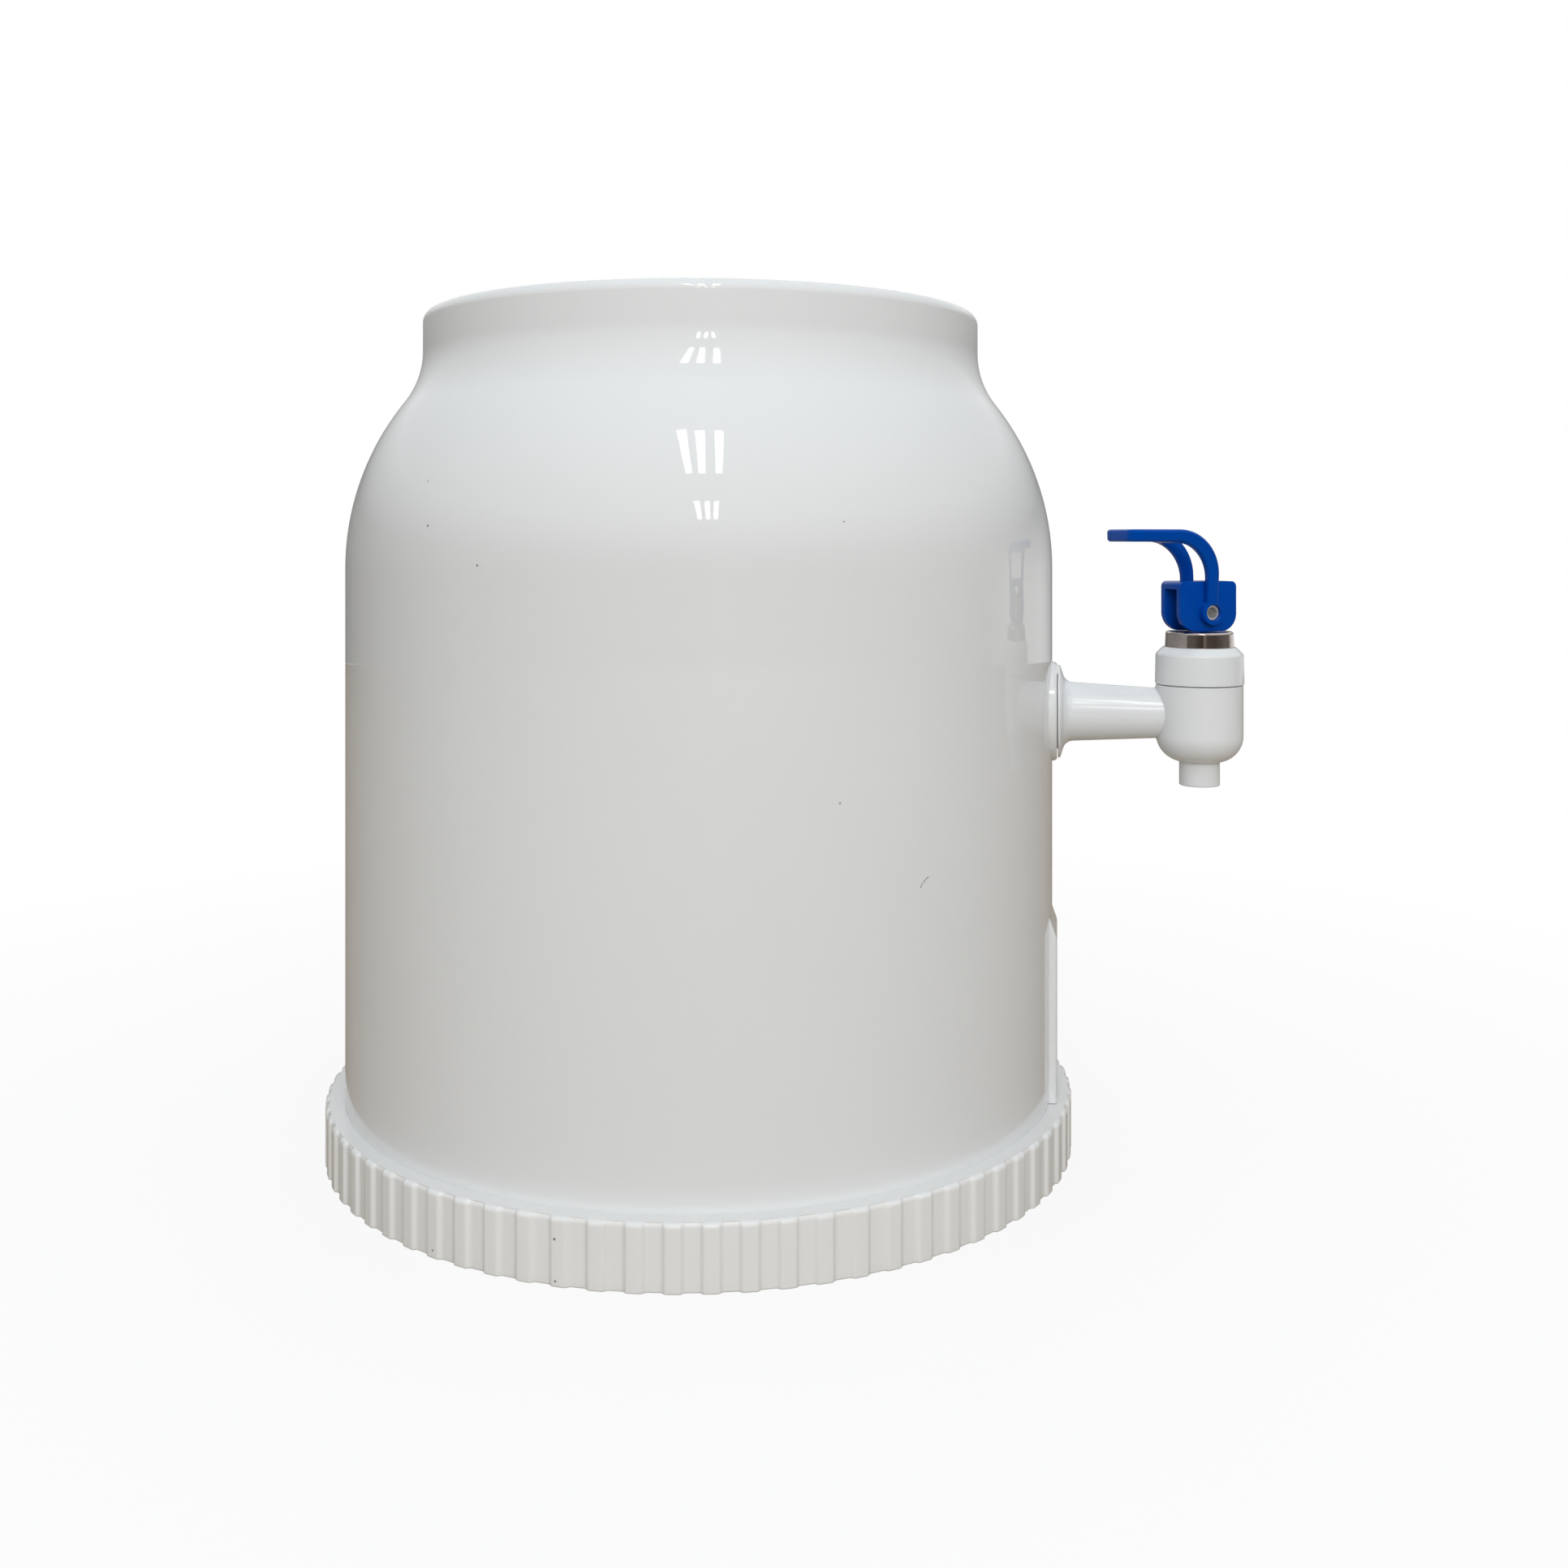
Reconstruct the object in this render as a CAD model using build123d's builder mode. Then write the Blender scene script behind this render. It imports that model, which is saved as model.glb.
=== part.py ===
"""Bottle-top water dispenser: a white barrel with a ribbed foot, an inner tank and a lever tap.

Millimetres, +Z up. The origin lies on the barrel's axis at counter height, and the tap leaves
the barrel along +X. Every solid is written to parts/ under the name of its node.
"""

import os
from math import acos, cos, pi, radians, sin, sqrt

from build123d import *

# Clearances
flat_gap = 0.4
guide_gap = 0.3
thread_gap = 0.25
pin_gap = 0.05
eye_gap = 0.08
ring_gap = 0.1
joint_line = 0.3
overlap = 1.0

# Barrel
body_radius = 135.0
body_wall = 3.0
neck_radius = 106.9
shoulder_radius = 100.0
neck_fillet = 32.5
shoulder_z = 218.0
neck_height = 14.71
lip_radius = 4.0
lip_width = 5.5
rim_web = 3.0
body_seat_z = 6.5

# Ribbed foot
foot_height = 21.5
foot_gap = 0.3
foot_wall = 2.5
skirt_gap = 0.6
foot_edge = 0.9
rib_count = 75
rib_depth = 1.1
rib_phase = 0.64
rib_share = 0.48
rib_flank = 0.35
floor_thickness = 2.5
spigot_height = 13.5
spigot_wall = 2.5
bead_height = 0.5
bead_rise = 7.5
bead_gap = 0.15
hub_radius = 20.0
stiffener_count = 12
stiffener_width = 2.5
stiffener_lift = 1.0

# Tank
tank_wall = 2.5
tank_gap = 0.4
tank_floor_z = 138.5
tank_bend = 4.0
tank_flange = 2.5
tank_flange_gap = 0.3
tank_flange_drop = 0.5
ledge_width = 4.0
tank_pad_radius = 17.0
tank_pad_thickness = 4.0

# Tap: place, shank and tube
tap_z = 163.9
lever_clearance = 17.5
boss_rise = 1.8
boss_depth = 2.5
boss_radius = 18.5
shank_radius = 8.0
shank_tail = 3.0
shank_bevel = 0.8
water_bore_radius = 4.3
flange_radius = 17.5
flange_thickness = 2.5
flange_edge = 1.2
flange_fillet = 2.0
tube_root_radius = 11.1
tube_end_radius = 9.05
gasket_thickness = 2.0
gasket_radius = 14.0
nut_thickness = 6.0
nut_flat_radius = 13.0

# Raised panel below the tap
panel_width = 34.0
panel_top = 87.0
panel_ramp = 5.0
panel_edge = 1.2

# Tap: barrel and spout
barrel_radius = 15.8
barrel_bottom = 146.2
barrel_bend = 10.0
barrel_wall = 4.2
part_line_z = 174.8
chamber_floor = 150.2
thread_step = 2.3
thread_neck_height = 5.2
seat_height = 1.5
seat_wall = 1.2
outlet_radius = 4.6
spout_radius = 7.35
spout_bottom = 137.5
spout_bore_radius = 5.6
spout_bore_depth = 9.5
spout_edge = 0.5

# Bonnet, trim ring and cam plate
bonnet_proud = 0.3
bonnet_draft = 0.2
bonnet_top = 188.8
bonnet_shoulder = 2.7
bonnet_round = 1.2
bonnet_plate = 3.5
clamp_width = 3.5
clamp_thickness = 1.5
collar_height = 3.6
trim_step = 0.7
trim_wall = 1.2
trim_height = 5.8
trim_draft = 0.3
trim_lip = 0.2
trim_round = 1.0
cam_plate_thickness = 2.0
cam_hub_radius = 4.7
cam_hub_length = 4.5
small_bevel = 0.3

# Stem, spring and seat cup
stem_radius = 3.5
eye_radius = 5.2
eye_half_width = 3.4
stem_collar_radius = 6.7
stem_collar_height = 1.6
stem_collar_z = 175.4
stem_foot_radius = 2.9
stem_barb_radius = 3.9
stem_barb_height = 2.2
stem_barb_bevel = 0.8
thrust_washer_thickness = 0.8
thrust_washer_play = 1.4
spring_mean_radius = 6.0
spring_wire_radius = 0.5
spring_turns = 3.5
cup_skirt_play = 0.7
cup_skirt_wall = 1.3
cup_plug_radius = 6.0
cup_plug_bevel = 0.8
cup_base = 2.6
cup_bell_rise = 7.0
cup_bell_height = 11.0
cup_lift = 0.3

# Lever and its pin
lever_swing = 29.0
pin_height = 7.0
pin_radius = 2.95
pin_bore_radius = 2.0
pin_recess = 1.2
cam_gap = 0.3
cheek_front = 12.3
cheek_back = 11.6
cheek_top = 11.4
cheek_half_width = 6.4
cheek_back_round = 6.5
cheek_top_round = 2.0
slot_half_width = 3.85
web_thickness = 2.9
boss_ring_radius = 4.5
boss_half_width = 9.4
leg_back = -2.2
leg_front = 2.4
leg_thickness = 2.9
paddle_top = 30.55
paddle_thickness = 4.55
outer_bend = 16.8
inner_bend_radius = 13.8
paddle_end = 34.7
paddle_half_width = 11.0
paddle_corner = 5.0
paddle_edge = 1.2
window_end = 12.6
window_corner = 2.5

# Places that follow from the sizes above
inner_radius = body_radius - body_wall
shoulder_reach = shoulder_radius + neck_fillet
shoulder_sweep = acos((neck_radius + neck_fillet - body_radius + shoulder_radius) / shoulder_reach)
neck_z = shoulder_z + shoulder_reach * sin(shoulder_sweep)
rim_z = neck_z + neck_height
ledge_z = rim_z - tank_flange - tank_flange_drop
rebate_radius = neck_radius - lip_width
boss_face = body_radius + boss_rise
boss_back = inner_radius - boss_depth
boss_thickness = boss_face - boss_back
tap_reach = body_radius + lever_clearance + sqrt(paddle_end**2 + paddle_half_width**2)
socket_radius = body_radius + foot_gap
socket_wall_radius = socket_radius + foot_wall
spigot_radius = inner_radius - foot_gap
skirt_inner = socket_wall_radius + skirt_gap
foot_radius = skirt_inner + foot_wall + rib_depth
panel_back = inner_radius + overlap
panel_bottom = foot_height + foot_gap
tank_flange_radius = rebate_radius - tank_flange_gap
ledge_radius = rebate_radius - ledge_width
tank_radius = ledge_radius - tank_gap
tank_inner_radius = tank_radius - tank_wall
tank_pad_face = sqrt((tank_radius + flat_gap / 2) ** 2 - tank_pad_radius**2)
tank_pad_back = tank_pad_face - tank_pad_thickness
nut_face = tank_pad_back - gasket_thickness
nut_back = nut_face - nut_thickness
flange_back = boss_face + joint_line
flange_front = flange_back + flange_thickness
chamber_radius = barrel_radius - barrel_wall
thread_neck_radius = barrel_radius - thread_step
chamber_top = part_line_z + thread_neck_height
clamp_top = chamber_top + clamp_thickness
bonnet_radius = barrel_radius + bonnet_proud
bonnet_top_radius = bonnet_radius - bonnet_draft - bonnet_shoulder
bonnet_chamber_radius = thread_neck_radius - clamp_width
bonnet_hole_radius = cam_hub_radius + guide_gap
bonnet_ceiling = bonnet_top - bonnet_plate
collar_top = bonnet_top + collar_height
trim_radius = bonnet_top_radius - trim_step
collar_radius = trim_radius - trim_wall
cam_plate_bottom = collar_top + ring_gap
cam_plate_top = cam_plate_bottom + cam_plate_thickness
trim_top = bonnet_top + trim_height
trim_mouth_radius = trim_radius - trim_draft - trim_round - trim_lip
cam_plate_radius = trim_mouth_radius - guide_gap
pin_z = cam_plate_top + cam_gap + pin_height
cam_round = pin_height
spring_bottom = stem_collar_z + stem_collar_height
spring_top = bonnet_ceiling - thrust_washer_thickness
thrust_washer_radius = bonnet_chamber_radius - thrust_washer_play
cup_skirt_radius = chamber_radius - cup_skirt_play
seat_z = chamber_floor + seat_height
cup_bottom = seat_z + cup_lift

# Planes that several pieces share
side_plane = Plane.XZ
tap_plane = Plane(origin=(0, 0, tap_z), x_dir=(1, 0, 0), z_dir=(0, -1, 0))
tap_axis = Axis((0, 0, tap_z), (1, 0, 0))
barrel_plane = Plane(origin=(tap_reach, 0, 0), x_dir=(1, 0, 0), z_dir=(0, -1, 0))
barrel_axis = Axis((tap_reach, 0, 0), (0, 0, 1))
lever_heading = (-cos(radians(lever_swing)), -sin(radians(lever_swing)), 0)
lever_side = (-sin(radians(lever_swing)), cos(radians(lever_swing)), 0)
lever_plane = Plane(origin=(tap_reach, 0, pin_z), x_dir=lever_heading, z_dir=lever_side)
lever_front = Plane(origin=(tap_reach, 0, pin_z), x_dir=-Vector(*lever_side), z_dir=lever_heading)


def across_tap(x):
    """Return the plane square to the tap's axis at x, with its local x axis along +Y."""
    return Plane(origin=(x, 0, tap_z), x_dir=(0, 1, 0), z_dir=(1, 0, 0))


def save(part, name):
    """Label a finished piece and write it under its node's name."""
    part.label = name
    export_step(part, f"parts/{name}.step")


os.makedirs("parts", exist_ok=True)

# Barrel: one moulded wall with its shoulder, neck, rolled lip and the ledge that holds the tank
arc_start = (body_radius, shoulder_z)
arc_centre_r = body_radius - shoulder_radius
arc_join = (
    arc_centre_r + shoulder_radius * cos(shoulder_sweep),
    shoulder_z + shoulder_radius * sin(shoulder_sweep),
)
arc_mid = (
    arc_centre_r + shoulder_radius * cos(shoulder_sweep / 2),
    shoulder_z + shoulder_radius * sin(shoulder_sweep / 2),
)
neck_start = (neck_radius, neck_z)
neck_mid = (
    neck_radius + neck_fillet - neck_fillet * cos(shoulder_sweep / 2),
    neck_z - neck_fillet * sin(shoulder_sweep / 2),
)
inner_arc = shoulder_radius - body_wall
inner_neck = neck_fillet + body_wall
inner_join = (
    arc_centre_r + inner_arc * cos(shoulder_sweep),
    shoulder_z + inner_arc * sin(shoulder_sweep),
)
inner_mid = (
    arc_centre_r + inner_arc * cos(shoulder_sweep / 2),
    shoulder_z + inner_arc * sin(shoulder_sweep / 2),
)
inner_neck_start = (neck_radius - body_wall, neck_z)
inner_neck_mid = (
    neck_radius + neck_fillet - inner_neck * cos(shoulder_sweep / 2),
    neck_z - inner_neck * sin(shoulder_sweep / 2),
)
bead_z = body_seat_z + bead_rise
groove_depth = bead_height + bead_gap
groove_half = 2 * bead_height + bead_gap
with BuildPart() as outer_shell:
    with BuildSketch(side_plane):
        with BuildLine():
            Polyline((inner_radius, body_seat_z), (body_radius, body_seat_z), arc_start)
            ThreePointArc(arc_start, arc_mid, arc_join)
            ThreePointArc(arc_join, neck_mid, neck_start)
            Line(neck_start, (neck_radius, rim_z - lip_radius))
            RadiusArc((neck_radius, rim_z - lip_radius), (neck_radius - lip_radius, rim_z), -lip_radius)
            Polyline(
                (neck_radius - lip_radius, rim_z),
                (rebate_radius, rim_z),
                (rebate_radius, ledge_z),
                (ledge_radius, ledge_z),
                (ledge_radius, ledge_z - rim_web),
                (neck_radius - body_wall, ledge_z - rim_web),
                inner_neck_start,
            )
            ThreePointArc(inner_neck_start, inner_neck_mid, inner_join)
            ThreePointArc(inner_join, inner_mid, (inner_radius, shoulder_z))
            Polyline(
                (inner_radius, shoulder_z),
                (inner_radius, bead_z + groove_half),
                (inner_radius + groove_depth, bead_z),
                (inner_radius, bead_z - groove_half),
                (inner_radius, body_seat_z),
            )
        make_face()
    revolve(axis=Axis.Z)
    with BuildSketch(across_tap(boss_back)):
        Circle(boss_radius)
    extrude(amount=boss_thickness)
    with BuildSketch(side_plane):
        with BuildLine():
            Polyline(
                (panel_back, panel_bottom),
                (boss_face, panel_bottom),
                (boss_face, panel_top - panel_ramp),
                (body_radius, panel_top),
                (panel_back, panel_top + panel_ramp),
                (panel_back, panel_bottom),
            )
        make_face()
    extrude(amount=panel_width / 2, both=True)
    panel_sides = outer_shell.edges().filter_by(Axis.Z).filter_by(
        lambda edge: abs(edge.center().X - boss_face) < 0.01
    )
    fillet(panel_sides, radius=panel_edge)
    with BuildSketch(across_tap(boss_back)):
        Circle(shank_radius + flat_gap)
    extrude(amount=2 * boss_thickness, both=True, mode=Mode.SUBTRACT)
save(outer_shell.part, "outer_shell")

# Ribbed foot: skirt, ledge, floor, snap spigot and stiffeners in one moulding
floor_bottom = body_seat_z - floor_thickness
rib_pitch = 2 * pi * foot_radius / rib_count
valley_half = rib_pitch * (1 - rib_share) / 2
with BuildSketch() as rib_valley:
    with BuildLine():
        Polyline(
            (foot_radius - rib_depth, -valley_half + rib_flank),
            (foot_radius + overlap, -valley_half),
            (foot_radius + overlap, valley_half),
            (foot_radius - rib_depth, valley_half - rib_flank),
            (foot_radius - rib_depth, -valley_half + rib_flank),
        )
    make_face()
with BuildPart() as base_cap:
    with BuildSketch(side_plane):
        with BuildLine():
            Polyline(
                (0, 0),
                (hub_radius, 0),
                (hub_radius, floor_bottom),
                (spigot_radius - spigot_wall, floor_bottom),
                (spigot_radius - spigot_wall, 0),
                (spigot_radius, 0),
                (spigot_radius, floor_bottom),
                (socket_wall_radius, floor_bottom),
                (socket_wall_radius, foot_height - foot_wall),
                (skirt_inner, foot_height - foot_wall),
                (skirt_inner, 0),
                (foot_radius, 0),
                (foot_radius, foot_height),
                (socket_radius, foot_height),
                (socket_radius, body_seat_z),
                (spigot_radius, body_seat_z),
                (spigot_radius, bead_z - 2 * bead_height),
                (spigot_radius + bead_height, bead_z),
                (spigot_radius, bead_z + 2 * bead_height),
                (spigot_radius, body_seat_z + spigot_height),
                (spigot_radius - spigot_wall, body_seat_z + spigot_height),
                (spigot_radius - spigot_wall, body_seat_z),
                (0, body_seat_z),
                (0, 0),
            )
        make_face()
    revolve(axis=Axis.Z)
    top_rim = base_cap.edges().filter_by(GeomType.CIRCLE).filter_by(
        lambda edge: abs(edge.radius - foot_radius) < 0.01
    )
    chamfer(top_rim.sort_by(Axis.Z)[-1:], length=foot_edge)
    with BuildSketch(Plane.XY):
        with PolarLocations(0, rib_count, start_angle=rib_phase + 180 / rib_count):
            add(rib_valley.sketch)
    extrude(amount=foot_height, mode=Mode.SUBTRACT)
    with BuildSketch(Plane.XY.offset(stiffener_lift)):
        with PolarLocations((hub_radius + spigot_radius - spigot_wall) / 2, stiffener_count):
            Rectangle(spigot_radius - spigot_wall - hub_radius + overlap, stiffener_width)
    extrude(amount=floor_bottom - stiffener_lift)
save(base_cap.part, "base_cap")

# Tank: a bowl that hangs by its flange on the ledge inside the lip
bend_centre_r = tank_radius - tank_bend
bend_centre_z = tank_floor_z + tank_bend
inner_bend = tank_bend - tank_wall
with BuildPart() as water_tank:
    with BuildSketch(side_plane):
        with BuildLine():
            Polyline((0, tank_floor_z + tank_wall), (0, tank_floor_z), (bend_centre_r, tank_floor_z))
            RadiusArc((bend_centre_r, tank_floor_z), (tank_radius, bend_centre_z), -tank_bend)
            Polyline(
                (tank_radius, bend_centre_z),
                (tank_radius, ledge_z),
                (tank_flange_radius, ledge_z),
                (tank_flange_radius, ledge_z + tank_flange),
                (tank_inner_radius, ledge_z + tank_flange),
                (tank_inner_radius, bend_centre_z),
            )
            RadiusArc(
                (tank_inner_radius, bend_centre_z), (bend_centre_r, tank_floor_z + tank_wall), inner_bend
            )
            Line((bend_centre_r, tank_floor_z + tank_wall), (0, tank_floor_z + tank_wall))
        make_face()
    revolve(axis=Axis.Z)
    with BuildSketch(across_tap(tank_pad_back)):
        Circle(tank_pad_radius)
    extrude(amount=tank_pad_thickness)
    with BuildSketch(across_tap(tank_pad_face)):
        Circle(tank_pad_radius)
    extrude(amount=tank_wall, mode=Mode.SUBTRACT)
    with BuildSketch(across_tap(tank_pad_back)):
        Circle(shank_radius + flat_gap)
    extrude(amount=2 * tank_pad_thickness, both=True, mode=Mode.SUBTRACT)
save(water_tank.part, "water_tank")


def ring_on_shank(start, length, outer_radius, gap):
    """Return a plain ring that slides over the tap's shank from start towards +X."""
    with BuildPart() as ring:
        with BuildSketch(across_tap(start)):
            Circle(outer_radius)
            Circle(shank_radius + gap, mode=Mode.SUBTRACT)
        extrude(amount=length)
    return ring.part


# Gaskets and spacer on the shank, from the tap's flange inwards
sleeve_start = tank_pad_face + gasket_thickness
save(ring_on_shank(boss_face, gasket_thickness, gasket_radius, flat_gap), "tap_outer_washer")
save(ring_on_shank(sleeve_start, boss_back - sleeve_start, gasket_radius, flat_gap), "spacer_sleeve")
save(ring_on_shank(tank_pad_face, gasket_thickness, gasket_radius, flat_gap), "tank_outer_washer")
save(ring_on_shank(nut_face, gasket_thickness, gasket_radius, flat_gap), "tank_inner_washer")

# Nut inside the tank: a hexagon with a round flange
with BuildPart() as tap_nut:
    with BuildSketch(across_tap(nut_back)):
        RegularPolygon(nut_flat_radius, 6, major_radius=False)
    extrude(amount=nut_thickness)
    with BuildSketch(across_tap(nut_back + nut_thickness * 2 / 3)):
        Circle(nut_flat_radius * 2 / sqrt(3))
    extrude(amount=nut_thickness / 3)
    with BuildSketch(across_tap(nut_back)):
        Circle(shank_radius + thread_gap)
    extrude(amount=nut_thickness, mode=Mode.SUBTRACT)
save(tap_nut.part, "tap_nut")

# Tap body: threaded shank, flange, tapered tube, barrel and spout in one moulding
recess_depth = gasket_thickness - joint_line
tube_end = tap_reach - chamber_radius + overlap
barrel_low = barrel_bottom + barrel_bend
with BuildPart() as tap_body:
    with BuildSketch(tap_plane):
        with BuildLine():
            Polyline(
                (nut_back - shank_tail, 0),
                (nut_back - shank_tail, shank_radius - shank_bevel),
                (nut_back - shank_tail + shank_bevel, shank_radius),
                (flange_back + recess_depth, shank_radius),
                (flange_back + recess_depth, gasket_radius + flat_gap),
                (flange_back, gasket_radius + flat_gap),
                (flange_back, flange_radius),
                (flange_front, flange_radius),
                (flange_front, tube_root_radius),
                (tube_end, tube_end_radius),
                (tube_end, 0),
                (nut_back - shank_tail, 0),
            )
        make_face()
    revolve(axis=tap_axis)
    flange_rims = tap_body.edges().filter_by(GeomType.CIRCLE).filter_by(
        lambda edge: abs(edge.center().X - flange_front) < 0.01
    )
    fillet(flange_rims.sort_by(lambda edge: edge.radius)[-1:], radius=flange_edge)
    fillet(flange_rims.sort_by(lambda edge: edge.radius)[:1], radius=flange_fillet)
    with BuildSketch(barrel_plane):
        with BuildLine():
            Line((0, barrel_bottom), (barrel_radius - barrel_bend, barrel_bottom))
            RadiusArc(
                (barrel_radius - barrel_bend, barrel_bottom), (barrel_radius, barrel_low), -barrel_bend
            )
            Polyline(
                (barrel_radius, barrel_low),
                (barrel_radius, part_line_z - joint_line),
                (barrel_radius - joint_line, part_line_z),
                (thread_neck_radius, part_line_z),
                (thread_neck_radius, chamber_top),
                (0, chamber_top),
                (0, barrel_bottom),
            )
        make_face()
    revolve(axis=barrel_axis)
    with BuildSketch(Plane(origin=(tap_reach, 0, spout_bottom))):
        Circle(spout_radius)
    extrude(amount=barrel_bottom - spout_bottom + overlap)
    with BuildSketch(Plane(origin=(tap_reach, 0, chamber_floor))):
        Circle(chamber_radius)
        Circle(outlet_radius + seat_wall, mode=Mode.SUBTRACT)
    extrude(amount=chamber_top - chamber_floor, mode=Mode.SUBTRACT)
    with BuildSketch(Plane(origin=(tap_reach, 0, seat_z))):
        Circle(outlet_radius + seat_wall)
    extrude(amount=chamber_top - seat_z, mode=Mode.SUBTRACT)
    with BuildSketch(Plane(origin=(tap_reach, 0, spout_bottom))):
        Circle(outlet_radius)
    extrude(amount=chamber_top - spout_bottom, mode=Mode.SUBTRACT)
    with BuildSketch(Plane(origin=(tap_reach, 0, spout_bottom))):
        Circle(spout_bore_radius)
    extrude(amount=spout_bore_depth, mode=Mode.SUBTRACT)
    with BuildSketch(across_tap(nut_back - shank_tail)):
        Circle(water_bore_radius)
    extrude(amount=tap_reach - chamber_radius + overlap - nut_back + shank_tail, mode=Mode.SUBTRACT)
    spout_rims = tap_body.edges().filter_by(GeomType.CIRCLE).filter_by(
        lambda edge: abs(edge.center().Z - spout_bottom) < 0.01
    )
    fillet(spout_rims.sort_by(lambda edge: edge.radius)[-1:], radius=spout_edge)
save(tap_body.part, "tap_body")

# Bonnet: the screw collar that clamps the seat cup and carries the trim ring
with BuildPart() as tap_bonnet:
    with BuildSketch(barrel_plane):
        with BuildLine():
            Polyline(
                (thread_neck_radius + thread_gap, part_line_z + joint_line),
                (bonnet_radius - joint_line, part_line_z + joint_line),
                (bonnet_radius, part_line_z + 2 * joint_line),
                (bonnet_radius - bonnet_draft, bonnet_top - bonnet_shoulder),
                (bonnet_top_radius, bonnet_top),
                (collar_radius, bonnet_top),
                (collar_radius, collar_top),
                (bonnet_hole_radius, collar_top),
                (bonnet_hole_radius, bonnet_ceiling),
                (bonnet_chamber_radius, bonnet_ceiling),
                (bonnet_chamber_radius, clamp_top),
                (thread_neck_radius + thread_gap, clamp_top),
                (thread_neck_radius + thread_gap, part_line_z + joint_line),
            )
        make_face()
    revolve(axis=barrel_axis)
    shoulder_edges = tap_bonnet.edges().filter_by(GeomType.CIRCLE).filter_by(
        lambda edge: bonnet_top_radius - 0.01 < edge.radius
        and edge.center().Z > bonnet_top - bonnet_shoulder - 0.01
    )
    fillet(shoulder_edges, radius=bonnet_round)
save(tap_bonnet.part, "tap_bonnet")

# Trim ring: a bright pressed ring that snaps over the bonnet's collar
with BuildPart() as trim_ring:
    with BuildSketch(barrel_plane):
        with BuildLine():
            Polyline(
                (collar_radius + ring_gap, bonnet_top),
                (trim_radius, bonnet_top),
                (trim_radius - trim_draft, trim_top - trim_round),
            )
            RadiusArc(
                (trim_radius - trim_draft, trim_top - trim_round),
                (trim_radius - trim_draft - trim_round, trim_top),
                -trim_round,
            )
            Polyline(
                (trim_radius - trim_draft - trim_round, trim_top),
                (trim_mouth_radius, trim_top),
                (trim_mouth_radius, collar_top),
                (collar_radius + ring_gap, collar_top),
                (collar_radius + ring_gap, bonnet_top),
            )
        make_face()
    revolve(axis=barrel_axis)
save(trim_ring.part, "trim_ring")

# Cam plate: the coloured disc that the lever's cheeks roll on
with BuildPart() as cam_plate:
    with BuildSketch(Plane(origin=(tap_reach, 0, cam_plate_bottom))):
        Circle(cam_plate_radius)
    extrude(amount=cam_plate_thickness)
    chamfer(cam_plate.edges().group_by(Axis.Z)[-1], length=small_bevel)
    with BuildSketch(Plane(origin=(tap_reach, 0, cam_plate_bottom))):
        Circle(cam_hub_radius)
    extrude(amount=-cam_hub_length)
    with BuildSketch(Plane(origin=(tap_reach, 0, cam_plate_bottom - cam_hub_length))):
        Circle(stem_radius + guide_gap)
    extrude(amount=cam_hub_length + cam_plate_thickness, mode=Mode.SUBTRACT)
save(cam_plate.part, "cam_plate")

# Stem: flat eye between the cheeks, round shaft, spring collar and barbed foot
barb_bottom = cup_bottom + cup_base + guide_gap
with BuildPart() as stem:
    with BuildSketch(barrel_plane):
        with BuildLine():
            Polyline(
                (0, barb_bottom),
                (stem_barb_radius - stem_barb_bevel, barb_bottom),
                (stem_barb_radius, barb_bottom + stem_barb_bevel),
                (stem_barb_radius, barb_bottom + stem_barb_height),
                (stem_foot_radius, barb_bottom + stem_barb_height),
                (stem_foot_radius, stem_collar_z),
                (stem_collar_radius, stem_collar_z),
                (stem_collar_radius, spring_bottom),
                (stem_radius, spring_bottom),
                (stem_radius, pin_z),
                (0, pin_z),
                (0, barb_bottom),
            )
        make_face()
    revolve(axis=barrel_axis)
    with BuildSketch(lever_plane):
        Circle(eye_radius)
    extrude(amount=eye_half_width, both=True)
    with BuildSketch(lever_plane):
        Circle(pin_radius + eye_gap)
    extrude(amount=eye_radius, both=True, mode=Mode.SUBTRACT)
save(stem.part, "stem")

# Thrust washer and spring between the bonnet's ceiling and the stem's collar
with BuildPart() as thrust_washer:
    with BuildSketch(Plane(origin=(tap_reach, 0, spring_top))):
        Circle(thrust_washer_radius)
        Circle(stem_radius + flat_gap, mode=Mode.SUBTRACT)
    extrude(amount=thrust_washer_thickness)
save(thrust_washer.part, "thrust_washer")

coil_bottom = spring_bottom + spring_wire_radius
coil_height = spring_top - spring_bottom - 2 * spring_wire_radius
with BuildPart() as stem_spring:
    with BuildLine(Plane(origin=(tap_reach, 0, coil_bottom))):
        coil = Helix(coil_height / spring_turns, coil_height, spring_mean_radius)
    with BuildSketch(Plane(origin=coil @ 0, z_dir=coil % 0)):
        Circle(spring_wire_radius)
    sweep(path=coil, is_frenet=True)
save(stem_spring.part, "stem_spring")

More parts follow.
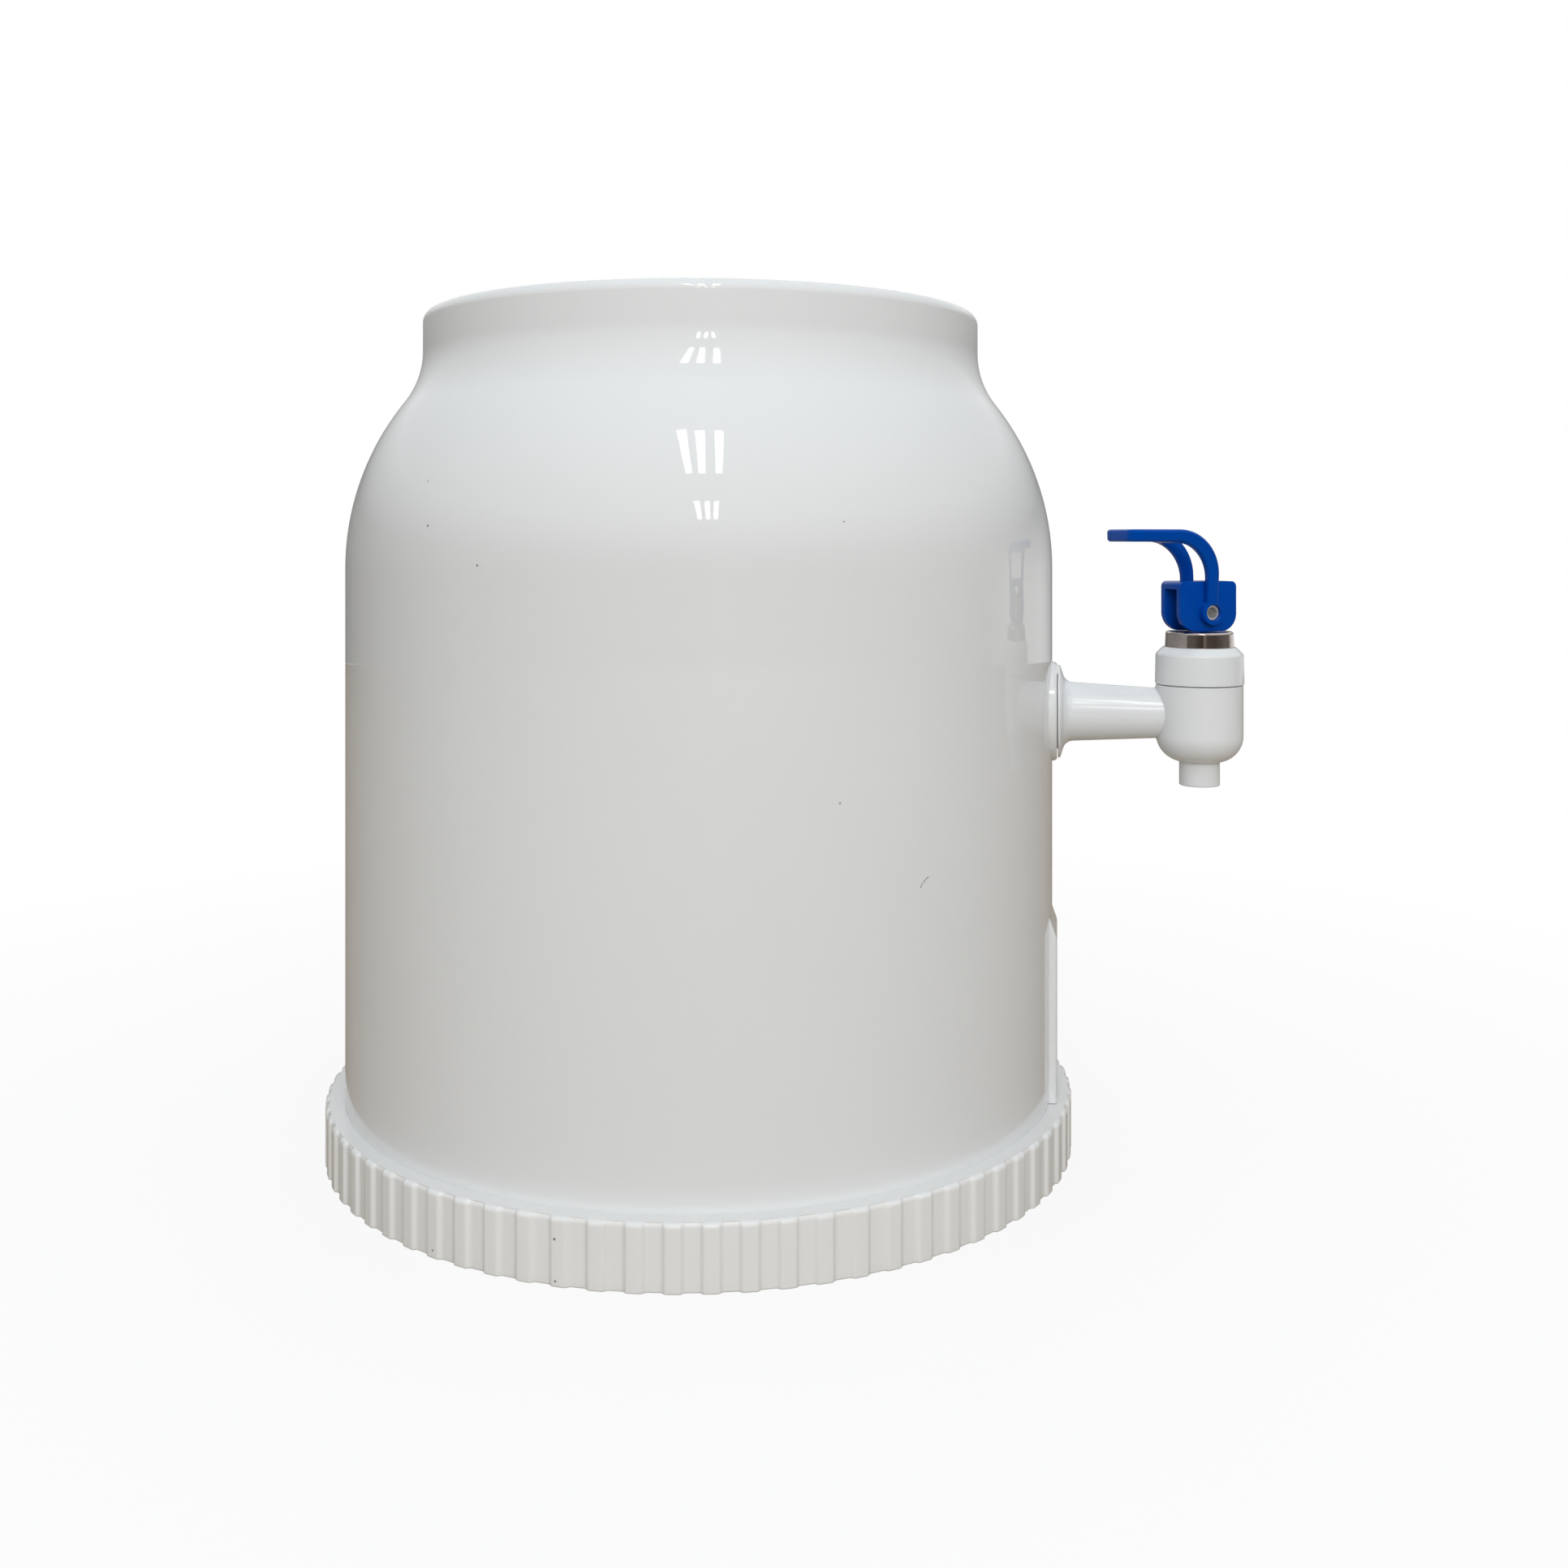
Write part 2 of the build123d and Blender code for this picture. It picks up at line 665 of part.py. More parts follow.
# Seat cup: a silicone bell clamped by its rim, with the plug that closes the outlet
bell_low = cup_bottom + cup_bell_rise
bell_high = bell_low + cup_bell_height
cup_socket_radius = stem_foot_radius + guide_gap
cup_pocket_radius = stem_barb_radius + guide_gap
cup_pocket_top = barb_bottom + stem_barb_height + guide_gap
with BuildPart() as seat_cup:
    with BuildSketch(barrel_plane):
        with BuildLine():
            Polyline(
                (0, cup_bottom),
                (cup_plug_radius - cup_plug_bevel, cup_bottom),
                (cup_plug_radius, cup_bottom + cup_plug_bevel),
                (cup_plug_radius, bell_low),
                (cup_skirt_radius, bell_high),
                (cup_skirt_radius, chamber_top),
                (thread_neck_radius, chamber_top),
                (thread_neck_radius, clamp_top),
                (cup_skirt_radius - cup_skirt_wall, clamp_top),
                (cup_skirt_radius - cup_skirt_wall, bell_high + cup_skirt_wall),
                (cup_socket_radius, bell_low + cup_skirt_wall),
                (cup_socket_radius, cup_pocket_top),
                (cup_pocket_radius, cup_pocket_top),
                (cup_pocket_radius, cup_bottom + cup_base),
                (0, cup_bottom + cup_base),
                (0, cup_bottom),
            )
        make_face()
    revolve(axis=barrel_axis)
save(seat_cup.part, "seat_cup")

# Lever: one moulding of two cam cheeks, a top web, two bent legs and a paddle
paddle_low = paddle_top - paddle_thickness
outer_centre_u = leg_back + outer_bend
outer_centre_z = paddle_top - outer_bend
inner_centre_u = leg_front + inner_bend_radius
inner_centre_z = paddle_low - inner_bend_radius
quarter = sqrt(0.5)
cheek_bottom = -pin_height
cam_centre_u = cheek_front - cam_round
slot_top = cheek_top - web_thickness
with BuildPart() as lever:
    with BuildSketch(lever_plane):
        with BuildLine():
            Line((leg_front, 0), (leg_front, inner_centre_z))
            ThreePointArc(
                (leg_front, inner_centre_z),
                (
                    inner_centre_u - inner_bend_radius * quarter,
                    inner_centre_z + inner_bend_radius * quarter,
                ),
                (inner_centre_u, paddle_low),
            )
            Polyline(
                (inner_centre_u, paddle_low),
                (paddle_end, paddle_low),
                (paddle_end, paddle_top),
                (outer_centre_u, paddle_top),
            )
            ThreePointArc(
                (outer_centre_u, paddle_top),
                (outer_centre_u - outer_bend * quarter, outer_centre_z + outer_bend * quarter),
                (leg_back, outer_centre_z),
            )
            Polyline((leg_back, outer_centre_z), (leg_back, 0), (leg_front, 0))
        make_face()
    extrude(amount=paddle_half_width + overlap, both=True)
    with BuildSketch(lever_front):
        with BuildLine():
            Polyline(
                (boss_half_width, 0),
                (paddle_half_width, paddle_top),
                (-paddle_half_width, paddle_top),
                (-boss_half_width, 0),
                (boss_half_width, 0),
            )
        make_face()
    extrude(amount=paddle_end + paddle_corner, both=True, mode=Mode.INTERSECT)
    paddle_tips = lever.edges().filter_by(
        lambda edge: abs(lever_plane.to_local_coords(edge.center()).X - paddle_end) < 0.01
        and abs(edge.center().Z - pin_z - paddle_top + paddle_thickness / 2) < 0.01
    )
    fillet(paddle_tips, radius=paddle_corner)
    fillet(lever.edges().filter_by(lambda edge: edge.center().Z > pin_z + 1), radius=paddle_edge)
    with BuildSketch(lever_front.offset(leg_back - overlap)):
        with BuildLine():
            Polyline(
                (boss_half_width - leg_thickness, 0),
                (paddle_half_width - leg_thickness, paddle_top),
                (leg_thickness - paddle_half_width, paddle_top),
                (leg_thickness - boss_half_width, 0),
                (boss_half_width - leg_thickness, 0),
            )
        make_face()
    extrude(amount=window_end - leg_back + overlap, mode=Mode.SUBTRACT)
    window_tips = lever.edges().filter_by(
        lambda edge: abs(lever_plane.to_local_coords(edge.center()).X - window_end) < 0.01
        and abs(lever_plane.to_local_coords(edge.center()).Z) > boss_half_width - leg_thickness
    )
    fillet(window_tips, radius=window_corner)
    with BuildSketch(lever_plane):
        with BuildLine():
            Line((cheek_front, 0), (cheek_front, cheek_top - cheek_top_round))
            RadiusArc(
                (cheek_front, cheek_top - cheek_top_round),
                (cheek_front - cheek_top_round, cheek_top),
                -cheek_top_round,
            )
            Line((cheek_front - cheek_top_round, cheek_top), (cheek_top_round - cheek_back, cheek_top))
            RadiusArc(
                (cheek_top_round - cheek_back, cheek_top),
                (-cheek_back, cheek_top - cheek_top_round),
                -cheek_top_round,
            )
            Line((-cheek_back, cheek_top - cheek_top_round), (-cheek_back, cheek_bottom + cheek_back_round))
            RadiusArc(
                (-cheek_back, cheek_bottom + cheek_back_round),
                (-cheek_back + cheek_back_round, cheek_bottom),
                -cheek_back_round,
            )
            Line((-cheek_back + cheek_back_round, cheek_bottom), (cam_centre_u, cheek_bottom))
            RadiusArc((cam_centre_u, cheek_bottom), (cheek_front, 0), -cam_round)
        make_face()
    extrude(amount=cheek_half_width, both=True)
    with BuildSketch(lever_plane):
        Circle(boss_ring_radius)
    extrude(amount=boss_half_width, both=True)
    with BuildSketch(lever_plane):
        with Locations(((cheek_front - cheek_back) / 2, (slot_top + 2 * cheek_bottom) / 2)):
            Rectangle(2 * (cheek_front + cheek_back), slot_top - 2 * cheek_bottom)
    extrude(amount=slot_half_width, both=True, mode=Mode.SUBTRACT)
    with BuildSketch(lever_plane):
        Circle(pin_radius + pin_gap)
    extrude(amount=2 * boss_half_width, both=True, mode=Mode.SUBTRACT)
save(lever.part, "lever")

# Pin: a hollow steel tube pressed into the cheeks' bosses
pin_half = boss_half_width - pin_recess
with BuildPart() as lever_pin:
    with BuildSketch(lever_plane):
        Circle(pin_radius)
        Circle(pin_bore_radius, mode=Mode.SUBTRACT)
    extrude(amount=pin_half, both=True)
    chamfer(
        lever_pin.edges().filter_by(GeomType.CIRCLE).filter_by(
            lambda edge: abs(edge.radius - pin_radius) < 0.01
        ),
        length=small_bevel,
    )
save(lever_pin.part, "lever_pin")
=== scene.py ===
"""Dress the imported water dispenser: turned white plastic, a ribbed foot and a blue lever."""

import logging
import math
from dataclasses import dataclass, field
from enum import Enum

import bmesh
import bpy
import numpy as np
from mathutils import Euler, Matrix, Vector


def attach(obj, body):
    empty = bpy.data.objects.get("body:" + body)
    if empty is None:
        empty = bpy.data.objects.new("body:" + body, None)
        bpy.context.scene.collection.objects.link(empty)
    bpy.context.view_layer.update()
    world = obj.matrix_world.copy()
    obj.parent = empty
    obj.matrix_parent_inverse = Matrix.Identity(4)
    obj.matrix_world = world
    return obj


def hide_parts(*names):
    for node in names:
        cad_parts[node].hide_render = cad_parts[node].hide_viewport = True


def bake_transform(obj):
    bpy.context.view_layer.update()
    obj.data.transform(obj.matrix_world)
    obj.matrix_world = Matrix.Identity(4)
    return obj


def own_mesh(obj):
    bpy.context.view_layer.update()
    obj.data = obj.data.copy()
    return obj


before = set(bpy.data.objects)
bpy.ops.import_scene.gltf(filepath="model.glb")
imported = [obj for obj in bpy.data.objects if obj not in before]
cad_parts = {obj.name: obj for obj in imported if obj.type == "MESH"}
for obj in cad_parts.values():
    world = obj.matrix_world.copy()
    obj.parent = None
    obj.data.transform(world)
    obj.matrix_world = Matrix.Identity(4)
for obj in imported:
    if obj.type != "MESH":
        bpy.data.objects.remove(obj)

LOG = logging.getLogger("dispenser")
MM = 0.001
BOX_QUADS = (
    (0, 1, 2, 3),
    (4, 7, 6, 5),
    (0, 4, 5, 1),
    (1, 5, 6, 2),
    (2, 6, 7, 3),
    (3, 7, 4, 0),
)
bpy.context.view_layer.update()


# Turned outlines and meshes with exact normals


@dataclass(frozen=True)
class Corner:
    """A corner of a section: distance from the axis, height and rounding, in mm."""

    r: float
    z: float
    rounding: float = 0.0


@dataclass(frozen=True)
class Span:
    """A short straight stretch of a sampled section, with the true normal at each end."""

    start: tuple[float, float]
    end: tuple[float, float]
    start_normal: tuple[float, float]
    end_normal: tuple[float, float]


class Section:
    """A closed section in the half plane of a turned piece."""

    def __init__(self, corners: list[Corner], step_degrees: float = 5.0) -> None:
        """Keep the corners in counter-clockwise order.

        Args:
            corners: The corners of the closed section, in either order.
            step_degrees: The largest turn of one sampled step along a rounding.
        """
        area = 0.0
        for this, following in zip(corners, corners[1:] + corners[:1]):
            area += this.r * following.z - following.r * this.z
        self.corners = corners if area > 0 else corners[::-1]
        self.step = math.radians(step_degrees)

    def spans(self, longest: float = 1.0e9) -> list[Span]:
        """Sample the section into short spans with exact normals.

        Args:
            longest: The longest straight span in mm, so that long walls can be cut into rows.

        Returns:
            The spans in order round the section.
        """
        count = len(self.corners)
        arcs = []
        for index in range(count):
            before = self.corners[index - 1]
            here = self.corners[index]
            after = self.corners[(index + 1) % count]
            arcs.append(self._arc(before, here, after))
        spans: list[Span] = []
        for index in range(count):
            points, normals = arcs[index]
            for k in range(len(points) - 1):
                spans.append(Span(points[k], points[k + 1], normals[k], normals[k + 1]))
            start = points[-1]
            end = arcs[(index + 1) % count][0][0]
            run = math.dist(start, end)
            if run < 1.0e-6:
                continue
            normal = ((end[1] - start[1]) / run, -(end[0] - start[0]) / run)
            pieces = max(1, math.ceil(run / longest))
            for k in range(pieces):
                a = tuple(start[i] + (end[i] - start[i]) * k / pieces for i in (0, 1))
                b = tuple(start[i] + (end[i] - start[i]) * (k + 1) / pieces for i in (0, 1))
                spans.append(Span(a, b, normal, normal))
        return spans

    def _arc(
        self, before: Corner, here: Corner, after: Corner
    ) -> tuple[list[tuple[float, float]], list[tuple[float, float]]]:
        """Sample the rounding at one corner.

        Args:
            before: The corner before it.
            here: The corner that is rounded.
            after: The corner after it.

        Returns:
            The points of the rounding and their outward normals.
        """
        point = Vector((here.r, here.z))
        arrive = (point - Vector((before.r, before.z))).normalized()
        leave = (Vector((after.r, after.z)) - point).normalized()
        turn = math.atan2(arrive.x * leave.y - arrive.y * leave.x, arrive.dot(leave))
        if here.rounding <= 0 or abs(turn) < 1.0e-4:
            return [(here.r, here.z)], [(leave.y, -leave.x)]
        back = here.rounding * math.tan(abs(turn) / 2)
        start = point - arrive * back
        side = 1.0 if turn > 0 else -1.0
        centre = start + Vector((-arrive.y, arrive.x)) * (here.rounding * side)
        steps = max(2, math.ceil(abs(turn) / self.step))
        points, normals = [], []
        for k in range(steps + 1):
            angle = turn * k / steps
            out = Vector((arrive.y, -arrive.x))
            out.rotate(Matrix.Rotation(angle, 2))
            spot = centre + out * (here.rounding * side)
            points.append((spot.x, spot.y))
            normals.append((out.x, out.y))
        return points, normals


@dataclass
class Solid:
    """Faces gathered for one mesh, each with its own exact corner normals."""

    points: list[tuple[float, float, float]] = field(default_factory=list)
    faces: list[tuple[int, ...]] = field(default_factory=list)
    normals: list[tuple[float, float, float]] = field(default_factory=list)

    def turn(
        self, section: Section, segments: int, place: Matrix, longest: float = 1.0e9
    ) -> "Solid":
        """Add a turned solid.

        Args:
            section: The closed section, in mm.
            segments: How many faces go round the axis.
            place: The frame whose Z axis is the axis of the turned solid, in mm.
            longest: The longest straight span along the section, in mm.

        Returns:
            This solid, so that calls can be chained.
        """
        spans = section.spans(longest)
        count = len(spans)
        turns = [2 * math.pi * k / segments for k in range(segments)]
        rings: list[list[int]] = []
        for span in spans:
            r, z = span.start
            if r < 1.0e-6:
                self.points.append(tuple(place @ Vector((0, 0, z))))
                rings.append([len(self.points) - 1] * segments)
                continue
            ring = []
            for angle in turns:
                spot = place @ Vector((r * math.cos(angle), r * math.sin(angle), z))
                self.points.append(tuple(spot))
                ring.append(len(self.points) - 1)
            rings.append(ring)
        spin = place.to_3x3()
        for index, span in enumerate(spans):
            low, high = rings[index], rings[(index + 1) % count]
            if low[0] == low[1] and high[0] == high[1]:
                continue
            for k in range(segments):
                n = (k + 1) % segments
                ends = ((low[k], k, 0), (low[n], k + 1, 0), (high[n], k + 1, 1), (high[k], k, 1))
                kept = []
                for vertex, step, end in ends:
                    if all(vertex != other[0] for other in kept):
                        kept.append((vertex, step, end))
                self.faces.append(tuple(item[0] for item in kept))
                for _, step, end in kept:
                    angle = 2 * math.pi * step / segments
                    nr, nz = span.end_normal if end else span.start_normal
                    out = spin @ Vector((nr * math.cos(angle), nr * math.sin(angle), nz))
                    self.normals.append(tuple(out))
        return self

    def patch(self, grid: np.ndarray, normals: np.ndarray, wrap: bool = False) -> "Solid":
        """Add a sheet of quads.

        Args:
            grid: Points of shape (rows, columns, 3), in mm.
            normals: The normal at each point, of the same shape.
            wrap: Whether the last row joins the first.

        Returns:
            This solid, so that calls can be chained.
        """
        rows, columns = grid.shape[:2]
        first = len(self.points)
        self.points.extend(tuple(map(float, spot)) for spot in grid.reshape(-1, 3))
        for i in range(rows if wrap else rows - 1):
            j = (i + 1) % rows
            for k in range(columns - 1):
                cells = ((i, k), (j, k), (j, k + 1), (i, k + 1))
                self.faces.append(tuple(first + a * columns + b for a, b in cells))
                self.normals.extend(tuple(map(float, normals[a, b])) for a, b in cells)
        return self

    def flat(self, *corners: int) -> None:
        """Add one face between known points, with its own flat normal."""
        a, b, c = (Vector(self.points[index]) for index in corners[:3])
        self.faces.append(corners)
        self.normals.extend([tuple((b - a).cross(c - a).normalized())] * len(corners))

    def to_object(self, name: str) -> bpy.types.Object:
        """Make the gathered faces one object in metres, with its normals kept.

        Args:
            name: The name of the object and of its mesh.

        Returns:
            The new object, linked to the scene.
        """
        spots: dict[tuple[float, ...], int] = {}
        faces, normals = [], []
        corners = iter(self.normals)
        for face in self.faces:
            ring: dict[int, tuple[float, float, float]] = {}
            for vertex in face:
                normal = next(corners)
                spot = tuple(round(value, 4) for value in self.points[vertex])
                ring.setdefault(spots.setdefault(spot, len(spots)), normal)
            if len(ring) > 2:
                faces.append(tuple(ring))
                normals.extend(ring.values())
        mesh = bpy.data.meshes.new(name)
        mesh.from_pydata([Vector(spot) * MM for spot in spots], [], faces)
        mesh.shade_smooth()
        mesh.normals_split_custom_set(normals)
        mesh.update()
        piece = bpy.data.objects.new(name, mesh)
        bpy.context.scene.collection.objects.link(piece)
        return piece


def upright(x: float = 0.0, y: float = 0.0) -> Matrix:
    """Return the frame of a vertical axis that stands at x and y, in mm."""
    return Matrix.Translation((x, y, 0))


def along_tap(height: float) -> Matrix:
    """Return the frame whose Z axis runs along +X at a height, in mm."""
    return Matrix.Translation((0, 0, height)) @ Matrix.Rotation(math.pi / 2, 4, "Y")


# Finishes


class Nodes:
    """A small helper that adds and links the nodes of one material."""

    def __init__(self, name: str) -> None:
        """Start an empty node material.

        Args:
            name: The name of the material.
        """
        self.material = bpy.data.materials.new(name)
        self.material.use_nodes = True
        self.tree = self.material.node_tree
        self.tree.nodes.clear()
        self.output = self.tree.nodes.new("ShaderNodeOutputMaterial")
        self.shader = self.tree.nodes.new("ShaderNodeBsdfPrincipled")
        self.link(self.shader.outputs["BSDF"], self.output.inputs["Surface"])
        self.place = self.tree.nodes.new("ShaderNodeTexCoord").outputs["Object"]

    def link(self, source: bpy.types.NodeSocket, target: bpy.types.NodeSocket) -> None:
        """Join two sockets."""
        self.tree.links.new(source, target)

    def add(self, kind: str, **inputs: object) -> bpy.types.Node:
        """Add a node and fill its inputs.

        Args:
            kind: The node's type name.
            inputs: Values or sockets by input name, with underscores for spaces.

        Returns:
            The new node.
        """
        node = self.tree.nodes.new(kind)
        for key, value in inputs.items():
            socket = node.inputs[key.replace("_", " ")]
            if isinstance(value, bpy.types.NodeSocket):
                self.link(value, socket)
            else:
                socket.default_value = value
        return node

    def math(self, operation: str, first: object, second: object = 0.0) -> bpy.types.NodeSocket:
        """Add a Math node and return its value.

        Args:
            operation: The operation's name.
            first: The first number or socket.
            second: The second number or socket.

        Returns:
            The result's socket.
        """
        node = self.tree.nodes.new("ShaderNodeMath")
        node.operation = operation
        for index, value in enumerate((first, second)):
            if isinstance(value, bpy.types.NodeSocket):
                self.link(value, node.inputs[index])
            else:
                node.inputs[index].default_value = value
        return node.outputs[0]

    def noise(self, scale: float, detail: float = 2.0) -> bpy.types.NodeSocket:
        """Return the value of a noise texture on the piece's own coordinates."""
        node = self.add("ShaderNodeTexNoise", Vector=self.place, Scale=scale, Detail=detail)
        return node.outputs["Fac"]

    def spread(
        self,
        value: bpy.types.NodeSocket,
        low: float,
        high: float,
        start: float = 0.3,
        stop: float = 0.7,
    ) -> bpy.types.NodeSocket:
        """Map a value from one span to another.

        Args:
            value: The socket whose value is mapped.
            low: The result at start.
            high: The result at stop.
            start: Where the first span begins.
            stop: Where the first span ends.

        Returns:
            The socket with the result.
        """
        node = self.add("ShaderNodeMapRange", Value=value)
        node.inputs["From Min"].default_value = start
        node.inputs["From Max"].default_value = stop
        node.inputs["To Min"].default_value = low
        node.inputs["To Max"].default_value = high
        return node.outputs["Result"]

    def blend(
        self, amount: bpy.types.NodeSocket, first: object, second: object
    ) -> bpy.types.NodeSocket:
        """Mix two colours.

        Args:
            amount: The share of the second colour.
            first: The first colour, or its socket.
            second: The second colour, or its socket.

        Returns:
            The socket with the mixed colour.
        """
        node = self.tree.nodes.new("ShaderNodeMix")
        node.data_type = "RGBA"
        self.link(amount, node.inputs["Factor"])
        for key, value in (("A", first), ("B", second)):
            socket = next(s for s in node.inputs if s.name == key and s.type == "RGBA")
            if isinstance(value, bpy.types.NodeSocket):
                self.link(value, socket)
            else:
                socket.default_value = (*value, 1.0)
        return next(s for s in node.outputs if s.type == "RGBA")


@dataclass(frozen=True)
class Plastic:
    """A moulded plastic with slight unevenness in colour, gloss and surface."""

    name: str
    colour: tuple[float, float, float]
    shade: tuple[float, float, float]
    gloss: tuple[float, float]
    peel: float = 0.02
    grain: float = 0.0
    specks: tuple[tuple[float, float, float, float], ...] = ()
    inner: float = 0.0
    sheen: tuple[float, float, float] = (1.0, 1.0, 1.0)

    def material(self) -> bpy.types.Material:
        """Build the material's nodes and return it."""
        nodes = Nodes(self.name)
        cloud = nodes.spread(nodes.noise(9.0, 3.0), 0.0, 1.0, 0.35, 0.65)
        colour = nodes.blend(cloud, self.colour, self.shade)
        if self.specks:
            colour = nodes.blend(self._speck_mask(nodes), colour, (0.09, 0.08, 0.07))
        nodes.link(colour, nodes.shader.inputs["Base Color"])
        rough = nodes.spread(nodes.noise(42.0, 4.0), self.gloss[0], self.gloss[1])
        nodes.link(rough, nodes.shader.inputs["Roughness"])
        nodes.shader.inputs["IOR"].default_value = 1.49
        nodes.shader.inputs["Specular Tint"].default_value = (*self.sheen, 1.0)
        if self.inner:
            nodes.shader.inputs["Subsurface Weight"].default_value = self.inner
            nodes.shader.inputs["Subsurface Radius"].default_value = (1.0, 0.9, 0.8)
            nodes.shader.inputs["Subsurface Scale"].default_value = 0.003
        height = nodes.noise(60.0, 1.0)
        if self.grain:
            fine = nodes.noise(2600.0, 1.0)
            height = nodes.math("ADD", height, nodes.math("MULTIPLY", fine, self.grain))
        bump = nodes.add("ShaderNodeBump", Strength=self.peel, Height=height)
        bump.inputs["Distance"].default_value = 0.001
        nodes.link(bump.outputs["Normal"], nodes.shader.inputs["Normal"])
        return nodes.material

    def _speck_mask(self, nodes: Nodes) -> bpy.types.NodeSocket:
        """Make the mask of the small dark specks in the moulding.

        Args:
            nodes: The material's nodes.

        Returns:
            The socket of a mask that is high inside each speck.
        """
        mask: object = 0.0
        for x, y, z, radius in self.specks:
            node = nodes.tree.nodes.new("ShaderNodeVectorMath")
            node.operation = "DISTANCE"
            nodes.link(nodes.place, node.inputs[0])
            node.inputs[1].default_value = (x * MM, y * MM, z * MM)
            size = radius * MM
            inside = nodes.spread(node.outputs["Value"], 0.85, 0.0, size * 0.6, size * 1.3)
            mask = nodes.math("MAXIMUM", inside, mask)
        return mask


@dataclass(frozen=True)
class Metal:
    """A bright or brushed metal."""

    name: str
    colour: tuple[float, float, float]
    gloss: tuple[float, float]
    scratch: float = 0.0
    metallic: float = 1.0

    def material(self) -> bpy.types.Material:
        """Build the material's nodes and return it."""
        nodes = Nodes(self.name)
        tint = tuple(value * 0.86 for value in self.colour)
        cloud = nodes.spread(nodes.noise(300.0, 3.0), 0.0, 1.0)
        nodes.link(nodes.blend(cloud, self.colour, tint), nodes.shader.inputs["Base Color"])
        nodes.shader.inputs["Metallic"].default_value = self.metallic
        rough = nodes.spread(nodes.noise(700.0, 4.0), self.gloss[0], self.gloss[1])
        nodes.link(rough, nodes.shader.inputs["Roughness"])
        if self.scratch:
            fine = nodes.noise(1800.0, 2.0)
            bump = nodes.add("ShaderNodeBump", Strength=self.scratch, Height=fine)
            bump.inputs["Distance"].default_value = 0.0002
            nodes.link(bump.outputs["Normal"], nodes.shader.inputs["Normal"])
        return nodes.material


BARREL_SPECKS = (
    (-65.59, -116.66, 233.25, 0.42),
    (-44.55, -127.40, 220.52, 0.40),
    (-67.76, -111.40, 248.02, 0.28),
    (70.08, -115.39, 146.25, 0.30),
    (71.06, -113.19, 234.39, 0.26),
    (93.77, -97.12, 116.85, 0.22),
    (93.94, -96.95, 117.30, 0.22),
    (94.13, -96.77, 117.75, 0.22),
    (94.43, -96.47, 118.17, 0.22),
    (94.74, -96.18, 118.56, 0.22),
    (95.04, -95.88, 118.91, 0.22),
    (95.34, -95.58, 119.24, 0.22),
    (95.64, -95.28, 119.49, 0.22),
    (95.94, -94.97, 119.71, 0.22),
)
FOOT_SPECKS = (
    (-19.81, -140.61, 21.40, 0.40),
    (-14.54, -141.25, 14.76, 0.42),
    (-14.28, -141.28, 1.88, 0.36),
    (-58.75, -129.28, 2.62, 0.36),
)


class Finish(Enum):
    """The finishes of the dispenser."""

    SHELL = Plastic(
        "Barrel_white", (0.81, 0.82, 0.825), (0.80, 0.81, 0.815), (0.02, 0.035),
        peel=0.035, grain=0.012, specks=BARREL_SPECKS, inner=0.1,
    )
    FOOT = Plastic(
        "Foot_white", (0.86, 0.86, 0.85), (0.845, 0.845, 0.835), (0.12, 0.18),
        grain=0.02, specks=FOOT_SPECKS, inner=0.1,
    )
    TANK = Plastic("Tank_white", (0.80, 0.81, 0.81), (0.78, 0.79, 0.79), (0.35, 0.45), grain=0.02)
    TAP = Plastic(
        "Tap_white", (0.81, 0.83, 0.845), (0.79, 0.81, 0.825), (0.08, 0.12),
        peel=0.04, grain=0.02, inner=0.1,
    )
    LEVER = Plastic(
        "Lever_blue", (0.0, 0.062, 0.40), (0.0, 0.055, 0.36), (0.12, 0.18),
        peel=0.05, grain=0.02, sheen=(0.05, 0.42, 1.0),
    )
    PLATE = Plastic(
        "Plate_blue", (0.0, 0.03, 0.16), (0.0, 0.026, 0.14), (0.22, 0.32),
        peel=0.03, sheen=(0.1, 0.45, 1.0),
    )
    STEM = Plastic("Stem_grey", (0.62, 0.64, 0.65), (0.58, 0.60, 0.61), (0.35, 0.45), inner=0.2)
    SLEEVE = Plastic("Sleeve_grey", (0.55, 0.55, 0.55), (0.5, 0.5, 0.5), (0.4, 0.5))
    RUBBER = Plastic(
        "Washer_rubber", (0.45, 0.45, 0.44), (0.41, 0.41, 0.40), (0.55, 0.7), grain=0.08
    )
    SILICONE = Plastic(
        "Cup_silicone", (0.72, 0.72, 0.70), (0.68, 0.68, 0.66), (0.4, 0.5), inner=0.4
    )
    CHROME = Metal("Ring_chrome", (0.52, 0.46, 0.435), (0.06, 0.1))
    STEEL = Metal("Pin_steel", (0.80, 0.79, 0.78), (0.22, 0.34), scratch=0.3, metallic=0.55)

    def put_on(self, piece: bpy.types.Object) -> None:
        """Give a piece this finish.

        Args:
            piece: The mesh object that takes the finish.
        """
        material = bpy.data.materials.get(self.value.name) or self.value.material()
        slots = piece.data.materials
        if len(slots):
            for index in range(len(slots)):
                slots[index] = material
        else:
            slots.append(material)


def set_on_body(piece: bpy.types.Object, body: str, slot: str, *nodes: str) -> bpy.types.Object:
    """Let a finished piece ride on a body in place of its solids.

    Args:
        piece: The finished piece.
        body: The body that it moves with.
        slot: The name of a material slot; not used.
        nodes: The solids that it stands for.

    Returns:
        The piece.
    """
    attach(piece, body)
    if nodes:
        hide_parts(*nodes)
    LOG.info("%s: %d faces on %s", piece.name, len(piece.data.polygons), body)
    return piece


# Barrel


